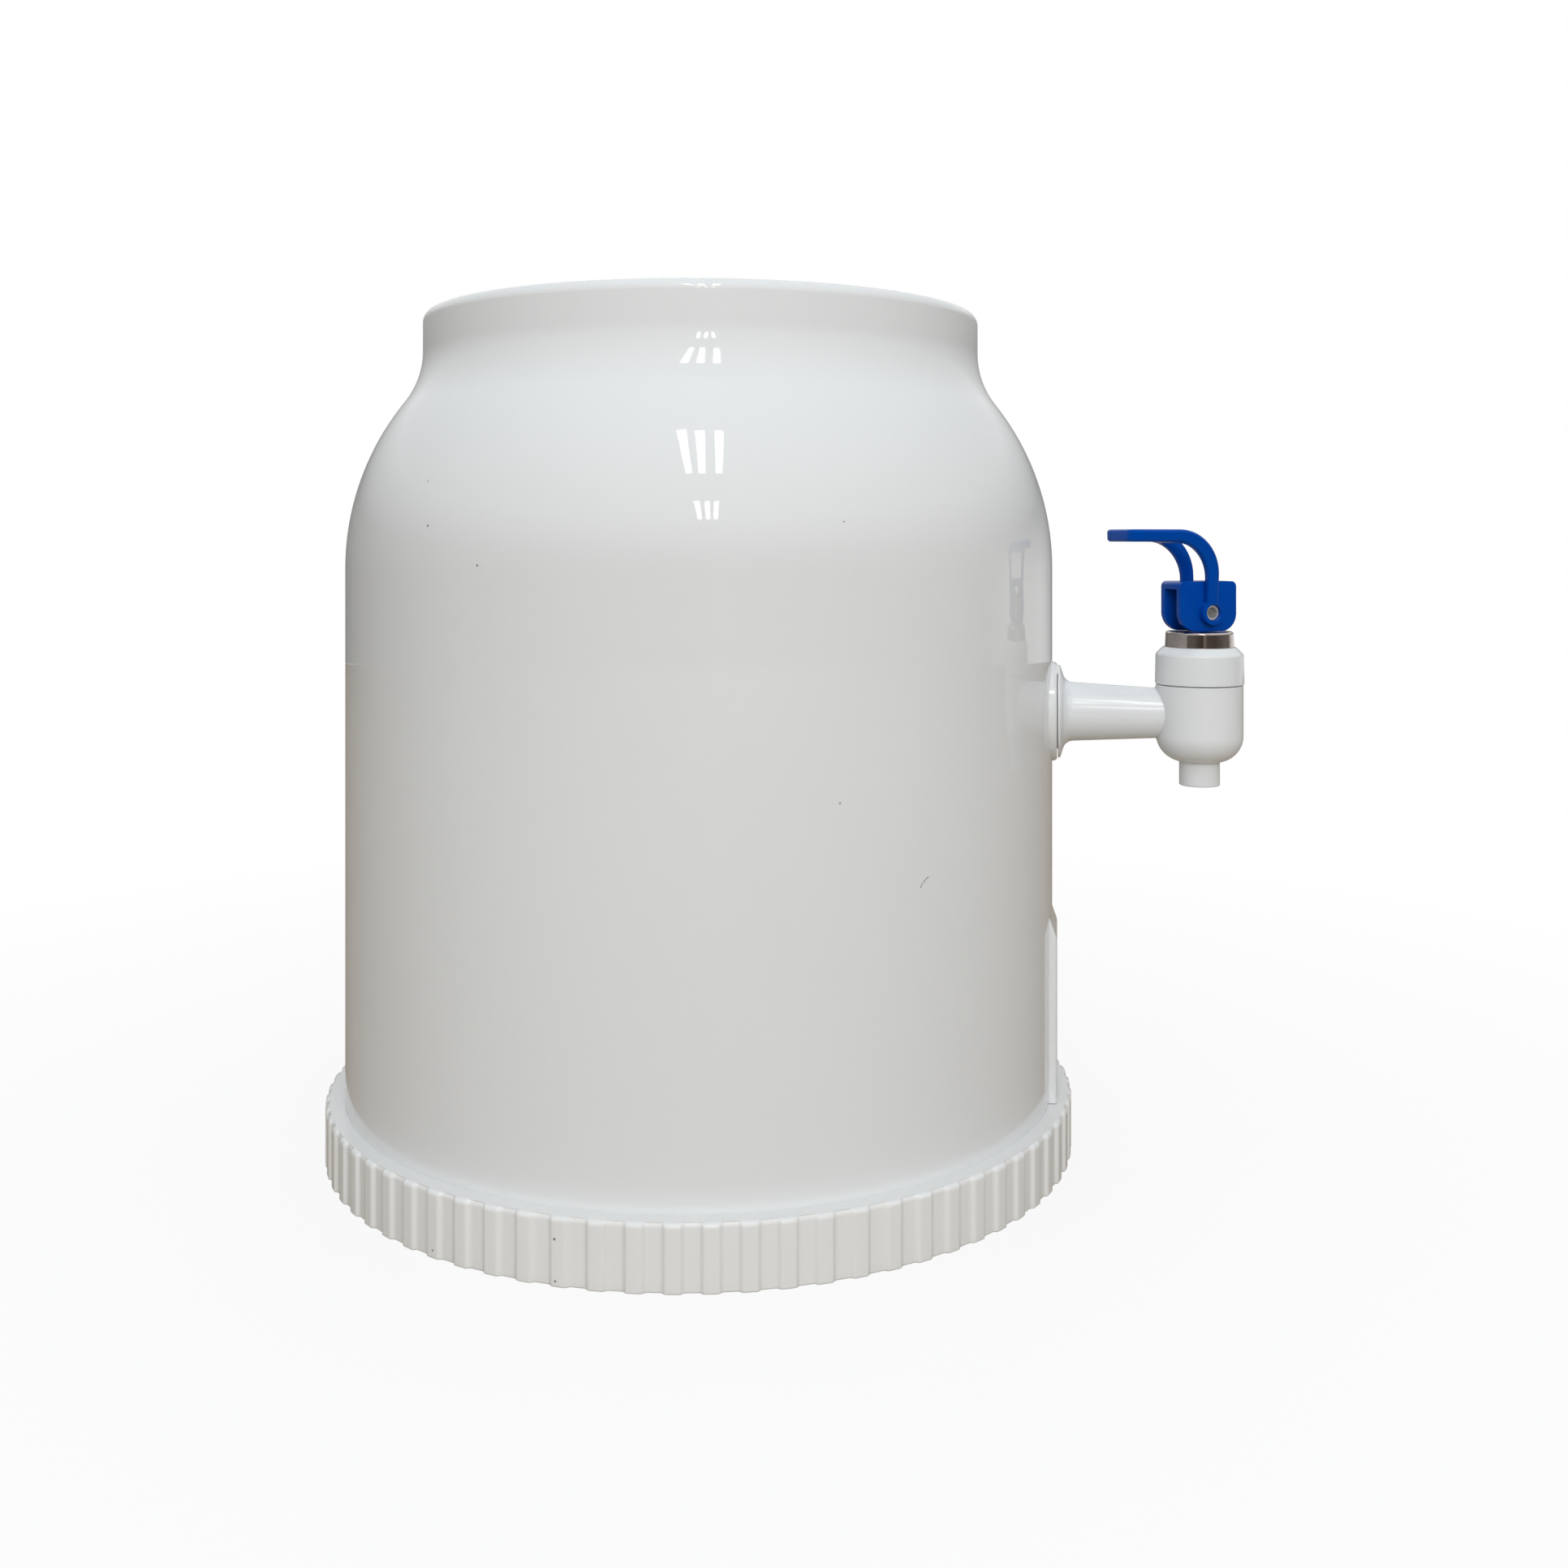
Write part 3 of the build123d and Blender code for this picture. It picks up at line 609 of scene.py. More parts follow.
@dataclass(frozen=True)
class Barrel:
    """The outer wall: shoulder, neck, rolled lip, tap boss and raised panel. Sizes in mm."""

    radius: float = 135.0
    wall: float = 3.0
    seat: float = 6.5
    shoulder_z: float = 218.0
    shoulder: float = 100.0
    neck: float = 106.9
    neck_fillet: float = 32.5
    rim_z: float = 314.2995
    lip: float = 4.0
    rebate: float = 101.4
    ledge_z: float = 311.3
    ledge: float = 97.4
    boss: float = 18.5
    boss_face: float = 136.8
    boss_back: float = 129.5
    boss_edge: float = 135.9
    boss_taper: float = 0.7
    tap_z: float = 163.9
    panel_half: float = 17.0
    panel_low: float = 21.8
    panel_high: float = 82.0
    panel_ramp: float = 5.0
    panel_edge: float = 1.4
    panel_side: float = 6.0

    def section(self) -> Section:
        """Return the wall's section from the foot to the lip and back down inside."""
        reach = self.shoulder + self.neck_fillet
        sweep = math.acos((self.neck + self.neck_fillet - self.radius + self.shoulder) / reach)
        half = math.tan(sweep / 2)
        neck_z = self.shoulder_z + reach * math.sin(sweep)
        inner = self.radius - self.wall
        inner_neck = self.neck - self.wall
        return Section(
            [
                Corner(inner, self.seat),
                Corner(self.radius, self.seat, 0.3),
                Corner(self.radius, self.shoulder_z + self.shoulder * half, self.shoulder),
                Corner(self.neck, neck_z - self.neck_fillet * half, self.neck_fillet),
                Corner(self.neck, self.rim_z, self.lip),
                Corner(self.rebate, self.rim_z, 0.4),
                Corner(self.rebate, self.ledge_z),
                Corner(self.ledge, self.ledge_z),
                Corner(self.ledge, self.ledge_z - self.wall),
                Corner(inner_neck, self.ledge_z - self.wall),
                Corner(
                    inner_neck,
                    neck_z - (self.neck_fillet + self.wall) * half,
                    self.neck_fillet + self.wall,
                ),
                Corner(
                    inner,
                    self.shoulder_z + (self.shoulder - self.wall) * half,
                    self.shoulder - self.wall,
                ),
            ],
            step_degrees=2.0,
        )

    def panel(self, solid: Solid) -> None:
        """Add the raised panel below the tap.

        Args:
            solid: The solid that the panel is added to.
        """
        back = self.radius - self.wall + 0.5
        slope = self.panel_ramp / (self.boss_face - self.radius)
        top = self.panel_high + slope * (self.boss_face - back)
        rise = Section(
            [
                Corner(back, self.panel_low),
                Corner(self.boss_face, self.panel_low, 0.3),
                Corner(self.boss_face, self.panel_high, 6.0),
                Corner(back, top),
            ]
        ).spans()
        rows = [span for span in rise if max(span.start[0], span.end[0]) > back + 1.0e-6]
        edge = self.panel_edge
        half = [(-self.panel_side, -self.panel_half, 0.0, -1.0)]
        for k in range(9):
            angle = math.radians(-90 + 90 * k / 8)
            cos, sin = math.cos(angle), math.sin(angle)
            half.append((edge * (cos - 1), -self.panel_half + edge + edge * sin, cos, sin))
        columns = half + [(x, -y, nx, -ny) for x, y, nx, ny in half[::-1]]
        stops = [(span.start, span.start_normal) for span in rows]
        stops.append((rows[-1].end, rows[-1].end_normal))
        columns.reverse()
        grid = [[(max(x + dx, back), y, z) for dx, y, _, _ in columns] for (x, z), _ in stops]
        normals = [
            [tuple(Vector((nx * px, py, nz * px)).normalized()) for _, _, px, py in columns]
            for _, (nx, nz) in stops
        ]
        first, wide, high = len(solid.points), len(columns), len(stops)
        solid.patch(np.array(grid), np.array(normals))
        loop = [first + k for k in range(wide)]
        loop += [first + i * wide + wide - 1 for i in range(1, high)]
        loop += [first + (high - 1) * wide + k for k in range(wide - 2, -1, -1)]
        loop += [first + i * wide for i in range(high - 2, 0, -1)]
        solid.flat(*loop)

    def build(self) -> bpy.types.Object:
        """Build the barrel's wall with its boss and panel."""
        solid = Solid()
        solid.turn(self.section(), 288, upright(), longest=24.0)
        solid.turn(
            Section(
                [
                    Corner(8.4, self.boss_back),
                    Corner(self.boss, self.boss_back),
                    Corner(self.boss, self.boss_edge, 0.4),
                    Corner(self.boss - self.boss_taper, self.boss_face, 0.3),
                    Corner(8.4, self.boss_face),
                ]
            ),
            96,
            along_tap(self.tap_z),
        )
        self.panel(solid)
        return solid.to_object("barrel_wall")

    def dress(self) -> None:
        """Build the barrel, finish it and set it on the housing."""
        piece = self.build()
        Finish.SHELL.put_on(piece)
        set_on_body(piece, "housing", "shell_white", "outer_shell")


# Foot


@dataclass(frozen=True)
class Foot:
    """The ribbed ring that closes the barrel below. Sizes in mm."""

    radius: float = 142.0
    height: float = 21.5
    ribs: int = 75
    depth: float = 1.1
    phase: float = 0.64
    crest: float = 0.85
    valley: float = 1.5
    flank_steps: int = 5
    edge: float = 1.5
    support: float = 0.15
    socket: float = 135.02
    socket_wall: float = 137.8
    skirt_inner: float = 138.4
    web: float = 2.5
    seat: float = 6.5
    floor_low: float = 4.0
    spigot: float = 131.7
    spigot_wall: float = 2.5
    spigot_top: float = 20.0
    hub: float = 20.0
    stiffener_half: float = 1.25
    stiffener_low: float = 1.0

    def wave(self) -> list[tuple[float, float]]:
        """Return one pitch of the ribs: angles from the crest in degrees and shares of the depth."""
        half = [(0.0, 0.0), (self.crest * 0.6, 0.0)]
        for k in range(self.flank_steps + 1):
            share = k / self.flank_steps
            angle = self.crest + (self.valley - self.crest) * share
            half.append((angle, share * share * (3 - 2 * share)))
        half += [((self.valley + 180.0 / self.ribs) / 2, 1.0), (180.0 / self.ribs, 1.0)]
        return [(-angle, share) for angle, share in half[:0:-1]] + half

    def section(self) -> Section:
        """Return the section at a crest, from the hub's edge outwards."""
        ring = self.spigot - self.spigot_wall
        return Section(
            [
                Corner(ring, self.floor_low),
                Corner(ring, 0.0, 0.3),
                Corner(self.spigot, 0.0, 0.3),
                Corner(self.spigot, self.floor_low),
                Corner(self.socket_wall, self.floor_low),
                Corner(self.socket_wall, self.height - self.web),
                Corner(self.skirt_inner, self.height - self.web),
                Corner(self.skirt_inner, 0.0, 0.3),
                Corner(self.radius, 0.0, 0.5),
                Corner(self.radius, self.height, self.edge),
                Corner(self.socket, self.height),
                Corner(self.socket, self.seat),
                Corner(self.spigot, self.seat),
                Corner(self.spigot, self.spigot_top, 0.5),
                Corner(ring, self.spigot_top, 0.5),
                Corner(ring, self.seat),
            ],
            step_degrees=30.0,
        )

    def sector(self) -> bpy.types.Object:
        """Build one pitch of the ring, open towards its neighbours."""
        points = []
        for span in self.section().spans():
            points.append(span.start)
            run = math.dist(span.start, span.end)
            if run > 6 * self.support:
                for share in (self.support / run, 1 - self.support / run):
                    points.append(tuple(a + (b - a) * share for a, b in zip(span.start, span.end)))
        wave = self.wave()
        vertices, faces = [], []
        for angle, share in wave:
            turn = math.radians(angle + self.phase)
            for r, z in points:
                reach = r - share * self.depth if r > self.radius - 1.5 else r
                vertices.append((reach * math.cos(turn) * MM, reach * math.sin(turn) * MM, z * MM))
        rows = len(points)
        for k in range(len(wave) - 1):
            for i in range(rows):
                low, high = k * rows + i, k * rows + (i + 1) % rows
                faces.append((low, low + rows, high + rows, high))
        mesh = bpy.data.meshes.new("foot_ring")
        mesh.from_pydata(vertices, [], faces)
        piece = bpy.data.objects.new("foot_ring", mesh)
        bpy.context.scene.collection.objects.link(piece)
        return piece

    def ring_tree(self, material: bpy.types.Material) -> bpy.types.GeometryNodeTree:
        """Build the node tree that repeats one pitch round the axis.

        Args:
            material: The finish of the ring.

        Returns:
            The tree, with inputs for the number of ribs and the welding distance.
        """
        tree = bpy.data.node_groups.new("Ribbed ring", "GeometryNodeTree")
        sockets = tree.interface
        sockets.new_socket("Geometry", in_out="INPUT", socket_type="NodeSocketGeometry")
        sockets.new_socket("Ribs", in_out="INPUT", socket_type="NodeSocketInt")
        sockets.new_socket("Weld distance", in_out="INPUT", socket_type="NodeSocketFloat")
        sockets.new_socket("Geometry", in_out="OUTPUT", socket_type="NodeSocketGeometry")
        nodes, link = tree.nodes, tree.links.new
        start, end = nodes.new("NodeGroupInput"), nodes.new("NodeGroupOutput")
        line = nodes.new("GeometryNodeMeshLine")
        link(start.outputs["Ribs"], line.inputs["Count"])
        line.inputs["Offset"].default_value = (0, 0, 0)
        index = nodes.new("GeometryNodeInputIndex")
        share = nodes.new("ShaderNodeMath")
        share.operation = "DIVIDE"
        link(index.outputs[0], share.inputs[0])
        link(start.outputs["Ribs"], share.inputs[1])
        angle = nodes.new("ShaderNodeMath")
        angle.operation = "MULTIPLY"
        angle.inputs[1].default_value = 2 * math.pi
        link(share.outputs[0], angle.inputs[0])
        spin = nodes.new("ShaderNodeCombineXYZ")
        link(angle.outputs[0], spin.inputs["Z"])
        copies = nodes.new("GeometryNodeInstanceOnPoints")
        link(line.outputs["Mesh"], copies.inputs["Points"])
        link(start.outputs["Geometry"], copies.inputs["Instance"])
        link(spin.outputs[0], copies.inputs["Rotation"])
        real = nodes.new("GeometryNodeRealizeInstances")
        link(copies.outputs[0], real.inputs[0])
        weld = nodes.new("GeometryNodeMergeByDistance")
        link(real.outputs[0], weld.inputs["Geometry"])
        link(start.outputs["Weld distance"], weld.inputs["Distance"])
        paint = nodes.new("GeometryNodeSetMaterial")
        paint.inputs["Material"].default_value = material
        link(weld.outputs[0], paint.inputs["Geometry"])
        link(paint.outputs[0], end.inputs[0])
        return tree

    def floor(self) -> Solid:
        """Return the floor with its hub, and the stiffeners below it."""
        ring = self.spigot - self.spigot_wall
        solid = Solid()
        solid.turn(
            Section(
                [
                    Corner(0.0, 0.0),
                    Corner(self.hub, 0.0, 0.4),
                    Corner(self.hub, self.floor_low),
                    Corner(ring + 0.5, self.floor_low),
                    Corner(ring + 0.5, self.seat),
                    Corner(0.0, self.seat),
                ]
            ),
            144,
            upright(),
        )
        for k in range(12):
            turn = Matrix.Rotation(math.radians(30 * k), 4, "Z")
            corners = [(self.hub - 1, -1), (self.hub - 1, 1), (ring + 1, 1), (ring + 1, -1)]
            box = [
                turn @ Vector((x, side * self.stiffener_half, z))
                for z in (self.stiffener_low, self.floor_low + 0.5)
                for x, side in corners
            ]
            first = len(solid.points)
            solid.points.extend(tuple(spot) for spot in box)
            for quad in BOX_QUADS:
                solid.flat(*(first + index for index in quad))
        return solid

    def dress(self) -> None:
        """Build the foot, finish it and set it on the housing."""
        ring = self.sector()
        Finish.FOOT.put_on(ring)
        material = ring.data.materials[0]
        tree = self.ring_tree(material)
        modifier = ring.modifiers.new("Ribbed ring", "NODES")
        modifier.node_group = tree
        for item in tree.interface.items_tree:
            if item.in_out == "INPUT" and item.name == "Ribs":
                modifier[item.identifier] = self.ribs
            if item.in_out == "INPUT" and item.name == "Weld distance":
                modifier[item.identifier] = 2.0e-6
        bpy.context.view_layer.update()
        graph = bpy.context.evaluated_depsgraph_get()
        mesh = bpy.data.meshes.new_from_object(ring.evaluated_get(graph))
        ring.modifiers.clear()
        ring.data = mesh
        mesh.shade_smooth()
        mesh.set_sharp_from_angle(angle=math.radians(60))
        floor = self.floor().to_object("foot_floor")
        Finish.FOOT.put_on(floor)
        set_on_body(ring, "housing", "foot_white", "base_cap")
        set_on_body(floor, "housing", "foot_white", "base_cap")


# Tap


@dataclass(frozen=True)
class Tap:
    """The tap's body, bonnet, trim ring and disc. Sizes in mm."""

    reach: float = 188.9018
    height: float = 163.9
    shank: float = 8.0
    shank_end: float = 80.6
    bore: float = 4.3
    flange: float = 17.5
    flange_back: float = 137.1
    flange_edge: float = 138.0
    flange_front: float = 139.9
    flange_fillet: float = 4.0
    recess: float = 14.4
    recess_end: float = 138.8
    root: float = 11.1
    tip: float = 9.05
    barrel: float = 15.8
    barrel_low: float = 146.2
    barrel_bend: float = 10.0
    part_line: float = 174.8
    neck: float = 13.5
    neck_top: float = 180.0
    chamber: float = 11.6
    chamber_low: float = 150.2
    outlet: float = 4.6
    spout: float = 7.35
    spout_low: float = 137.5
    spout_bore: float = 5.6
    bonnet: float = 16.1
    bonnet_top: float = 188.8
    bonnet_shoulder: float = 2.7
    bonnet_bore: float = 13.75
    clamp_top: float = 181.5
    bonnet_chamber: float = 10.0
    bonnet_ceiling: float = 185.3
    bonnet_hole: float = 5.0
    collar: float = 11.3
    collar_top: float = 192.4
    trim: float = 12.5
    trim_top: float = 194.6
    trim_mouth: float = 11.0

    def weld_bead(self, solid: Solid, rounding: float = 1.3) -> None:
        """Add the fillet where the tube runs into the barrel.

        Args:
            solid: The solid that the fillet is added to.
            rounding: The fillet's radius in mm.
        """
        steps, across = 96, 9
        grid, normals, hearts = [], [], []
        slope = (self.tip - self.root) / (self.reach - self.barrel - self.flange_front)
        for k in range(steps):
            angle = 2 * math.pi * k / steps
            cy, cz = math.cos(angle), math.sin(angle)
            x = self.reach - self.barrel - rounding
            for _ in range(20):
                tube = self.tip + slope * (x - self.reach + self.barrel)
                y = (tube + rounding) * cy
                z = self.height + (tube + rounding) * cz
                ball = self.barrel + rounding
                low = self.barrel_low + self.barrel_bend
                if z < low:
                    edge = self.barrel - self.barrel_bend
                    ball = edge + math.sqrt((self.barrel_bend + rounding) ** 2 - (low - z) ** 2)
                x = self.reach - math.sqrt(ball * ball - y * y)
            centre = Vector((x, y, z))
            on_tube = Vector((x, tube * cy, self.height + tube * cz))
            if z < low:
                out = Vector((x - self.reach, y, 0)).normalized()
                heart = Vector((self.reach, 0, low)) + out * (self.barrel - self.barrel_bend)
            else:
                heart = Vector((self.reach, 0, z))
            on_barrel = centre - (centre - heart).normalized() * rounding
            a = (on_tube - centre).normalized()
            b = (on_barrel - centre).normalized()
            swing = a.angle(b)
            row, turns = [], []
            for i in range(across):
                t = i / (across - 1)
                way = (a * math.sin((1 - t) * swing) + b * math.sin(t * swing)) / math.sin(swing)
                row.append(tuple(centre + way * rounding))
                turns.append(tuple(-way))
            grid.append(row)
            normals.append(turns)
            hearts.append(tuple(centre + (a + b).normalized() * (rounding * 1.8)))
        first = len(solid.points)
        solid.patch(np.array(grid), np.array(normals), wrap=True)
        inner = len(solid.points)
        solid.points.extend(hearts)
        for k in range(steps):
            n = (k + 1) % steps
            here, there = first + k * across, first + n * across
            solid.flat(here + across - 1, there + across - 1, inner + n, inner + k)
            solid.flat(inner + k, inner + n, there, here)

    def body(self) -> bpy.types.Object:
        """Build the tap's body."""
        solid = Solid()
        inside = self.reach - self.chamber + 1
        slope = (self.tip - self.root) / (inside - self.flange_front)
        solid.turn(
            Section(
                [
                    Corner(self.bore, self.shank_end),
                    Corner(self.shank - 0.8, self.shank_end),
                    Corner(self.shank, self.shank_end + 0.8),
                    Corner(self.shank, self.recess_end),
                    Corner(self.recess, self.recess_end),
                    Corner(self.recess, self.flange_back),
                    Corner(self.flange, self.flange_back, 0.25),
                    Corner(self.flange - 0.3, self.flange_edge, 0.5),
                    Corner(self.root, self.flange_front, self.flange_fillet),
                    Corner(self.root + slope * (inside - self.flange_front), inside),
                    Corner(self.bore, inside),
                ]
            ),
            112,
            along_tap(self.height),
        )
        solid.turn(
            Section(
                [
                    Corner(self.outlet, self.barrel_low),
                    Corner(self.barrel, self.barrel_low, self.barrel_bend),
                    Corner(self.barrel, self.part_line, 0.35),
                    Corner(self.neck, self.part_line),
                    Corner(self.neck, self.neck_top),
                    Corner(self.chamber, self.neck_top),
                    Corner(self.chamber, self.chamber_low, 1.5),
                    Corner(self.outlet, self.chamber_low),
                ],
                step_degrees=4.0,
            ),
            128,
            upright(self.reach),
        )
        solid.turn(
            Section(
                [
                    Corner(self.spout_bore, self.spout_low, 0.3),
                    Corner(self.spout, self.spout_low, 0.45),
                    Corner(self.spout, self.chamber_low - 1),
                    Corner(self.spout_bore, self.chamber_low - 1),
                ],
                step_degrees=10.0,
            ),
            112,
            upright(self.reach),
        )
        self.weld_bead(solid)
        return solid.to_object("tap_casting")

    def bonnet_piece(self) -> bpy.types.Object:
        """Build the screw bonnet."""
        solid = Solid()
        low = self.part_line + 0.3
        solid.turn(
            Section(
                [
                    Corner(self.bonnet_bore, low),
                    Corner(self.bonnet, low, 0.4),
                    Corner(self.bonnet - 0.2, self.bonnet_top - self.bonnet_shoulder, 1.6),
                    Corner(self.bonnet - 0.2 - self.bonnet_shoulder, self.bonnet_top, 1.2),
                    Corner(self.collar, self.bonnet_top),
                    Corner(self.collar, self.collar_top),
                    Corner(self.bonnet_hole, self.collar_top),
                    Corner(self.bonnet_hole, self.bonnet_ceiling),
                    Corner(self.bonnet_chamber, self.bonnet_ceiling),
                    Corner(self.bonnet_chamber, self.clamp_top),
                    Corner(self.bonnet_bore, self.clamp_top),
                ]
            ),
            128,
            upright(self.reach),
        )
        return solid.to_object("bonnet_cap")

    def trim_piece(self) -> bpy.types.Object:
        """Build the bright ring on the bonnet's collar."""
        solid = Solid()
        inner = self.collar + 0.1
        solid.turn(
            Section(
                [
                    Corner(inner, self.bonnet_top),
                    Corner(self.trim, self.bonnet_top, 0.15),
                    Corner(self.trim - 0.3, self.trim_top, 1.0),
                    Corner(self.trim_mouth, self.trim_top, 0.15),
                    Corner(self.trim_mouth, self.collar_top),
                    Corner(inner, self.collar_top),
                ]
            ),
            128,
            upright(self.reach),
        )
        return solid.to_object("bright_ring")

    def disc_piece(self) -> bpy.types.Object:
        """Build the blue disc under the lever."""
        solid = Solid()
        low = self.collar_top + 0.1
        solid.turn(
            Section(
                [
                    Corner(3.8, low - 4.5),
                    Corner(4.7, low - 4.5, 0.2),
                    Corner(4.7, low),
                    Corner(self.trim_mouth - 0.3, low, 0.1),
                    Corner(self.trim_mouth - 0.3, low + 2.0, 0.35),
                    Corner(3.8, low + 2.0, 0.2),
                ]
            ),
            112,
            upright(self.reach),
        )
        return solid.to_object("blue_disc")

    def dress(self) -> None:
        """Build the tap's pieces, finish them and set them on their bodies."""
        body = self.body()
        Finish.TAP.put_on(body)
        set_on_body(body, "housing", "tap_white", "tap_body")
        bonnet = self.bonnet_piece()
        Finish.TAP.put_on(bonnet)
        set_on_body(bonnet, "housing", "tap_white", "tap_bonnet")
        ring = self.trim_piece()
        Finish.CHROME.put_on(ring)
        set_on_body(ring, "housing", "ring_chrome", "trim_ring")
        disc = self.disc_piece()
        Finish.PLATE.put_on(disc)
        set_on_body(disc, "turntable", "plate_blue", "cam_plate")


# Pieces whose solids already have the right shape


@dataclass(frozen=True)
class Lever:
    """The blue lever, with the soft edges of a moulding. Sizes in mm."""

    soft_edge: float = 0.8
    edge_angle: float = 34.0

    def build(self) -> bpy.types.Object:
        """Build the lever from a merged copy of its solid, with rounded edges."""
        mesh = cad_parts["lever"].data.copy()
        mesh.name = "blue_lever"
        work = bmesh.new()
        work.from_mesh(mesh)
        bmesh.ops.remove_doubles(work, verts=work.verts, dist=1.0e-6)
        bmesh.ops.dissolve_limit(
            work, angle_limit=math.radians(0.6), verts=work.verts, edges=work.edges
        )
        bmesh.ops.recalc_face_normals(work, faces=work.faces)
        work.to_mesh(mesh)
        work.free()
        piece = bpy.data.objects.new("blue_lever", mesh)
        bpy.context.scene.collection.objects.link(piece)
        soften = piece.modifiers.new("Soft edges", "BEVEL")
        soften.width = self.soft_edge * MM
        soften.segments = 4
        soften.limit_method = "ANGLE"
        soften.angle_limit = math.radians(self.edge_angle)
        soften.use_clamp_overlap = True
        soften.harden_normals = True
        mesh.shade_smooth()
        bpy.context.view_layer.update()
        graph = bpy.context.evaluated_depsgraph_get()
        finished = bpy.data.meshes.new_from_object(piece.evaluated_get(graph))
        piece.modifiers.clear()
        piece.data = finished
        return piece

    def dress(self) -> None:
        """Build the lever, finish it and set it on its body."""
        piece = self.build()
        Finish.LEVER.put_on(piece)
        set_on_body(piece, "lever", "lever_blue", "lever")


@dataclass(frozen=True)
class Yielding:
    """The spring and the silicone cup, as merged smooth copies of their solids. Sizes in mm."""

    lift: float = 2.8
    spring_top: float = 184.5
    cup_grip: float = 158.8
    cup_hold: float = 172.0
    crease: float = 35.0

    def copy(self, node: str, name: str) -> bpy.types.Object:
        """Return a merged and smooth copy of a solid.

        Args:
            node: The solid's name.
            name: The copy's name.

        Returns:
            The copy, linked to the scene.
        """
        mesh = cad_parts[node].data.copy()
        mesh.name = name
        work = bmesh.new()
        work.from_mesh(mesh)
        bmesh.ops.remove_doubles(work, verts=work.verts, dist=1.0e-6)
        bmesh.ops.recalc_face_normals(work, faces=work.faces)
        work.to_mesh(mesh)
        work.free()
        mesh.shade_smooth()
        mesh.set_sharp_from_angle(angle=math.radians(self.crease))
        piece = bpy.data.objects.new(name, mesh)
        bpy.context.scene.collection.objects.link(piece)
        return piece

    def dress(self) -> None:
        """Build both pieces, finish them and set the coil on the housing."""
        coil = self.copy("stem_spring", "stem_coil")
        Finish.STEEL.put_on(coil)
        set_on_body(coil, "housing", "spring_steel", "stem_spring")
        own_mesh(coil)
        cup = self.copy("seat_cup", "silicone_cup")
        Finish.SILICONE.put_on(cup)
        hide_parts("seat_cup")
        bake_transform(cup)
        LOG.info("%s: %d faces, held by the stem", cup.name, len(cup.data.polygons))


@dataclass(frozen=True)
class Fittings:
    """The pieces that keep their own solids and only take a finish."""

    finishes: tuple[tuple[str, Finish], ...] = (
        ("water_tank", Finish.TANK),
        ("lever_pin", Finish.STEEL),
        ("stem", Finish.STEM),
        ("thrust_washer", Finish.SLEEVE),
        ("spacer_sleeve", Finish.SLEEVE),
        ("tap_nut", Finish.TAP),
        ("tap_outer_washer", Finish.RUBBER),
        ("tank_outer_washer", Finish.RUBBER),
        ("tank_inner_washer", Finish.RUBBER),
    )

    def dress(self) -> None:
        """Give each solid its finish."""
        for name, finish in self.finishes:
            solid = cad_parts[name]
            finish.put_on(solid)
            LOG.info("%s: own solid, %s", name, finish.value.name)


# Studio


@dataclass(frozen=True)
class Tube:
    """One ceiling tube: its two ends on the ceiling and its width, in metres."""

    near: tuple[float, float]
    far: tuple[float, float]
    width: float


ROOM_TONES = (
    (0.0, (0.20, 0.19, 0.18)),
    (0.20, (0.16, 0.15, 0.14)),
    (0.26, (0.08, 0.065, 0.055)),
    (0.285, (0.09, 0.06, 0.05)),
    (0.295, (0.30, 0.29, 0.27)),
    (0.32, (0.12, 0.10, 0.085)),
    (0.40, (0.10, 0.09, 0.08)),
    (0.50, (0.20, 0.19, 0.18)),
    (0.65, (0.24, 0.24, 0.23)),
    (0.85, (0.24, 0.24, 0.23)),
    (1.0, (0.20, 0.19, 0.18)),
)


